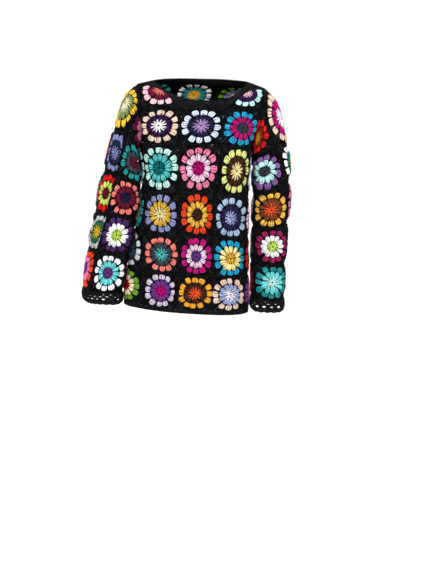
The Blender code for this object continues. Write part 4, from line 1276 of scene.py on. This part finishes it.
class Link:
    """A socket, with arithmetic."""

    def __init__(self, nodes, socket):
        self.nodes, self.socket = nodes, socket

    def maths(self, operation, first, second=0.0):
        node = self.nodes.add("ShaderNodeMath", {"operation": operation}, _0=first, _1=second)
        return self.nodes.link(node)

    def __add__(self, other):
        return self.maths("ADD", self, other)

    def __radd__(self, other):
        return self.maths("ADD", other, self)

    def __sub__(self, other):
        return self.maths("SUBTRACT", self, other)

    def __rsub__(self, other):
        return self.maths("SUBTRACT", other, self)

    def __mul__(self, other):
        return self.maths("MULTIPLY", self, other)

    def __rmul__(self, other):
        return self.maths("MULTIPLY", other, self)

    def __pow__(self, other):
        return self.maths("POWER", self, other)

    def __abs__(self):
        return self.maths("ABSOLUTE", self)

    def sine(self):
        return self.maths("SINE", self)


def noise(nodes, vector, scale, detail=2.0):
    """A noise of about 0 to 1 over a vector."""
    node = nodes.add("ShaderNodeTexNoise", None, Vector=vector, Scale=scale, Detail=detail)
    return nodes.link(node)


def tinted(nodes, colour, share):
    """A colour made darker or lighter by a share."""
    grey = nodes.add("ShaderNodeCombineXYZ", None, X=share, Y=share, Z=share)
    node = nodes.add("ShaderNodeVectorMath", {"operation": "MULTIPLY"},
                     _0=colour, _1=nodes.link(grey))
    return nodes.link(node)


PLY_LENGTH = 0.0045      # along a strand, from one ply to the next
PLY_LIGHT, PLY_ROUND = 0.50, 0.6             # how much painted light brightens the plies over painted shade in their grooves, and how round they are
FIBRE_LIGHT, DYE_LIGHT = 0.40, 0.30          # how much fibres and uneven dye change it
FIBRE_SCALE, DYE_SCALE, SHEEN_SCALE = 1400.0, 55.0, 330.0
# Painted sheen: the grey of its specks on black yarn, and the noise levels they show between.
SHEEN_GREY, SHEEN_RANGE = (0.10, 0.10, 0.12, 1.0), (0.56, 0.72)
BUMP_DEPTH = 0.0006


def yarn_finish(name, gloss, pale=0.0):
    """Soft spun yarn: its plies turn round each strand, and its fibres stand off it.

    pale is how much grey its painted sheen specks add."""
    nodes = Nodes(name)
    colour = nodes.link(nodes.add("ShaderNodeVertexColor", {"layer_name": "yarn_colour_and_painted_shade"}))
    yarn = nodes.link(nodes.add("ShaderNodeUVMap", {"uv_map": "yarn"}))
    place = nodes.link(nodes.add("ShaderNodeTexCoord"), "Object")
    parts = nodes.add("ShaderNodeSeparateXYZ", None, Vector=yarn)
    around, along = nodes.link(parts, 0), nodes.link(parts, 1)
    plies = abs((around * math.tau + along * (math.pi / PLY_LENGTH)).sine())
    fibre = noise(nodes, place, FIBRE_SCALE, 3.0)
    dye = noise(nodes, place, DYE_SCALE)
    plies = plies ** PLY_ROUND
    # Painted light and shade of the plies, with fibre and dye tone, on the yarn's colour.
    share = ((1.08 - PLY_LIGHT) + PLY_LIGHT * plies + (fibre - 0.5) * FIBRE_LIGHT
             + (dye - 0.5) * DYE_LIGHT)
    shade = tinted(nodes, colour, share)
    # Painted sheen: grey specks where noise runs high, on black yarn.
    if pale:
        glint = fibre * 0.4 + noise(nodes, place, SHEEN_SCALE, 1.0) * 0.6
        sheen_specks = nodes.add("ShaderNodeMapRange", None, Value=glint, From_Min=SHEEN_RANGE[0],
                          From_Max=SHEEN_RANGE[1], To_Min=0.0, To_Max=pale)
        mixed = nodes.add("ShaderNodeMix", {"data_type": "RGBA"}, _0=nodes.link(sheen_specks),
                          _6=shade, _7=SHEEN_GREY)
        shade = nodes.link(mixed, 2)
    height = plies * 0.7 + fibre * 0.3
    bump = nodes.add("ShaderNodeBump", None, Strength=0.8, Distance=BUMP_DEPTH,
                     Height=height)
    nodes.fill(nodes.shader, Base_Color=shade, Roughness=0.66 + (fibre * 0.28),
               Normal=nodes.link(bump), Specular_IOR_Level=gloss)
    return nodes.material


patchwork_yarn = yarn_finish("patchwork_yarn", 0.05)
black_crochet = yarn_finish("black_crochet", 0.05, 0.3)
black_lace = yarn_finish("black_lace", 0.06, 0.3)


# ---------------------------------------------------------------- the garment
def declare(stitches, cloth, nodes, slot, flat, area=None):
    """Ride a cloth and its stitches, and hide the parts they stand for."""
    for piece in (stitches, cloth):
        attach(piece, "root")
    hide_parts(*nodes)


COLUMN_TURNS = {"right": -1, "middle": 0, "left": 1}
SLEEVE_TURNS = {"outer": 0, "front": 1, "inner": 2, "back": 3}


def panel(name, form, squares, nodes, flat, area=None, inside_rows=()):
    """Squares on a form as two pieces, their stitches and their cloth."""
    stitches, patches = Crochet(), []
    for square in squares:
        lay_square(stitches, form, *square)
        patches.append(ground_square(*square))
        if square[1] in inside_rows:
            lay_inside(stitches, form, *square[:3])
    cloth = cloth_piece(name + "_cloth", patchwork_yarn, form, patches)
    declare(stitches.made(name + "_stitches", patchwork_yarn), cloth, nodes,
            "patchwork_crochet", flat, area)


def build_front():
    squares, nodes = [], []
    for column, turn in COLUMN_TURNS.items():
        for row in range(1, BODY_ROWS + 1):
            squares.append((turn, row, FRONT_YARNS[column][row], 1, 0,
                            FRONT_GROWTH[column][row]))
            nodes.append(f"front_{column}_row_{row}")
        if turn:
            squares.append((turn, 0, FRONT_YARNS[column][0], 1, turn,
                            FRONT_GROWTH[column][0]))
            nodes.append(f"front_{column}_half_square")
    panel("front", torso, squares, nodes, (0.36, 0.72), 16 * SQUARE ** 2)


def build_back():
    squares, nodes = [], []
    for column, turn in COLUMN_TURNS.items():
        for row in range(BODY_ROWS + 1):
            squares.append((4 - turn, row, BACK_YARNS[column][row]))
            nodes.append(f"back_{column}_row_{row}")
    panel("back", torso, squares, nodes, (0.36, 0.72), inside_rows=(0, 1, 2))


def build_side(side):
    name = SIDE_NAMES[side]
    rows = range(2, BODY_ROWS + 1)
    panel(f"side_{name}", torso,
          [(2 * side, row, SIDE_YARNS[name][row]) for row in rows],
          [f"side_{name}_row_{row}" for row in rows], (0.12, 0.48))


def build_sleeve(side):
    name = SIDE_NAMES[side]
    squares = []
    for column, turn in SLEEVE_TURNS.items():
        for row in range(SLEEVE_ROWS):
            squares.append((turn, row, SLEEVE_YARNS[name][column][row], -side))
    panel(f"sleeve_{name}", sleeves[side], squares,
          [f"sleeve_{name}_{column}_column" for column in SLEEVE_TURNS], (0.48, 0.60))


def build_bands():
    declare(*make_neckband(), ["neckband"], "black_crochet", (0.90, 0.032))
    declare(*make_hem(), ["hem_band"], "black_crochet", (0.97, 0.013))
    for side, name in SIDE_NAMES.items():
        declare(*make_cuff(side), ["cuff_" + name], "black_lace", (0.48, 0.048))


# ---------------------------------------------------------------- the stage
FLOOR_HEIGHT, FLOOR_RADIUS = -1.15, 3.2
# Each step of its rim: how far up, and how many times wider.
FLOOR_RIM = ((0.12, 1.20), (0.40, 1.16), (0.9, 1.10), (1.8, 1.04), (3.0, 1.0))
LIGHT_AIM = np.array((0, 0, -0.35))
CAMERA_PLACE = np.array((-0.384, -2.091, -0.192))
CAMERA_YAW, CAMERA_PITCH, CAMERA_ROLL = (math.radians(angle)
                                         for angle in (-12.95, -11.97, 3.45))
CAMERA_LENS = 55.16


def build_camera():
    """The camera, its axes worked out from its yaw, pitch and roll."""
    view = np.array((-math.sin(CAMERA_YAW) * math.cos(CAMERA_PITCH),
                     math.cos(CAMERA_YAW) * math.cos(CAMERA_PITCH), math.sin(CAMERA_PITCH)))
    level = np.array((math.cos(CAMERA_YAW), math.sin(CAMERA_YAW), 0.0))
    above = np.cross(level, view)
    right = level * math.cos(CAMERA_ROLL) + above * math.sin(CAMERA_ROLL)
    up = above * math.cos(CAMERA_ROLL) - level * math.sin(CAMERA_ROLL)
    lens = bpy.data.cameras.new("camera")
    lens.sensor_fit = "HORIZONTAL"
    lens.sensor_width = 36.0
    lens.lens = CAMERA_LENS
    camera = bpy.data.objects.new("camera", lens)
    bpy.context.scene.collection.objects.link(camera)
    matrix = np.eye(4)
    matrix[:3, 0], matrix[:3, 1], matrix[:3, 2], matrix[:3, 3] = right, up, -view, CAMERA_PLACE
    camera.matrix_world = Matrix(matrix.tolist())
    bpy.context.scene.camera = camera


def soft_light(name, place, size, power):
    """A large square light that faces the sweater."""
    bpy.ops.object.light_add(type="AREA", location=place)
    light = bpy.context.object
    light.name = name
    light.data.energy = power
    light.data.size = size
    aim = LIGHT_AIM - np.array(place)
    light.rotation_euler = (math.atan2(math.hypot(aim[0], aim[1]), -aim[2]), 0,
                            math.atan2(aim[1], aim[0]) - math.pi / 2)


def build_floor():
    """A pale floor that turns up all round, like a wide bowl."""
    bpy.ops.object.select_all(action="DESELECT")
    bpy.ops.mesh.primitive_circle_add(vertices=64, radius=FLOOR_RADIUS, fill_type="NGON",
                                      location=(0, 0, FLOOR_HEIGHT))
    floor = bpy.context.object
    floor.name = "floor"
    bpy.ops.object.mode_set(mode="EDIT")
    for rise, spread in FLOOR_RIM:
        bpy.ops.mesh.extrude_region_move(TRANSFORM_OT_translate={"value": (0, 0, rise)})
        bpy.ops.transform.resize(value=(spread, spread, 1))
    bpy.ops.mesh.delete(type="ONLY_FACE")
    bpy.ops.object.mode_set(mode="OBJECT")
    bpy.ops.object.transform_apply(location=True, rotation=True, scale=True)
    floor.data.shade_smooth()
    nodes = Nodes("pale_floor")
    grain = noise(nodes, nodes.link(nodes.add("ShaderNodeTexCoord"), "Object"), 3.0)
    nodes.fill(nodes.shader, Base_Color=(0.90, 0.90, 0.90, 1.0),
               Roughness=0.85 + (grain * 0.1))
    floor.data.materials.append(nodes.material)


def build_light():
    """Even white light all round, and three soft lights."""
    world = bpy.data.worlds.new("studio")
    world.use_nodes = True
    background = world.node_tree.nodes["Background"]
    background.inputs["Color"].default_value = (1.0, 1.0, 1.0, 1.0)
    background.inputs["Strength"].default_value = 1.0
    bpy.context.scene.world = world
    soft_light("key_light", (-1.6, -2.6, 1.6), 1.4, 110)
    soft_light("fill_light", (2.4, -2.0, 0.6), 2.2, 25)
    soft_light("back_light", (0.6, 2.8, 1.6), 2.2, 40)
    bpy.context.scene.view_settings.view_transform = "Standard"


build_camera()
build_floor()
build_light()
build_front()
build_back()
for side in SIDE_NAMES:
    build_side(side)
    build_sleeve(side)
build_bands()
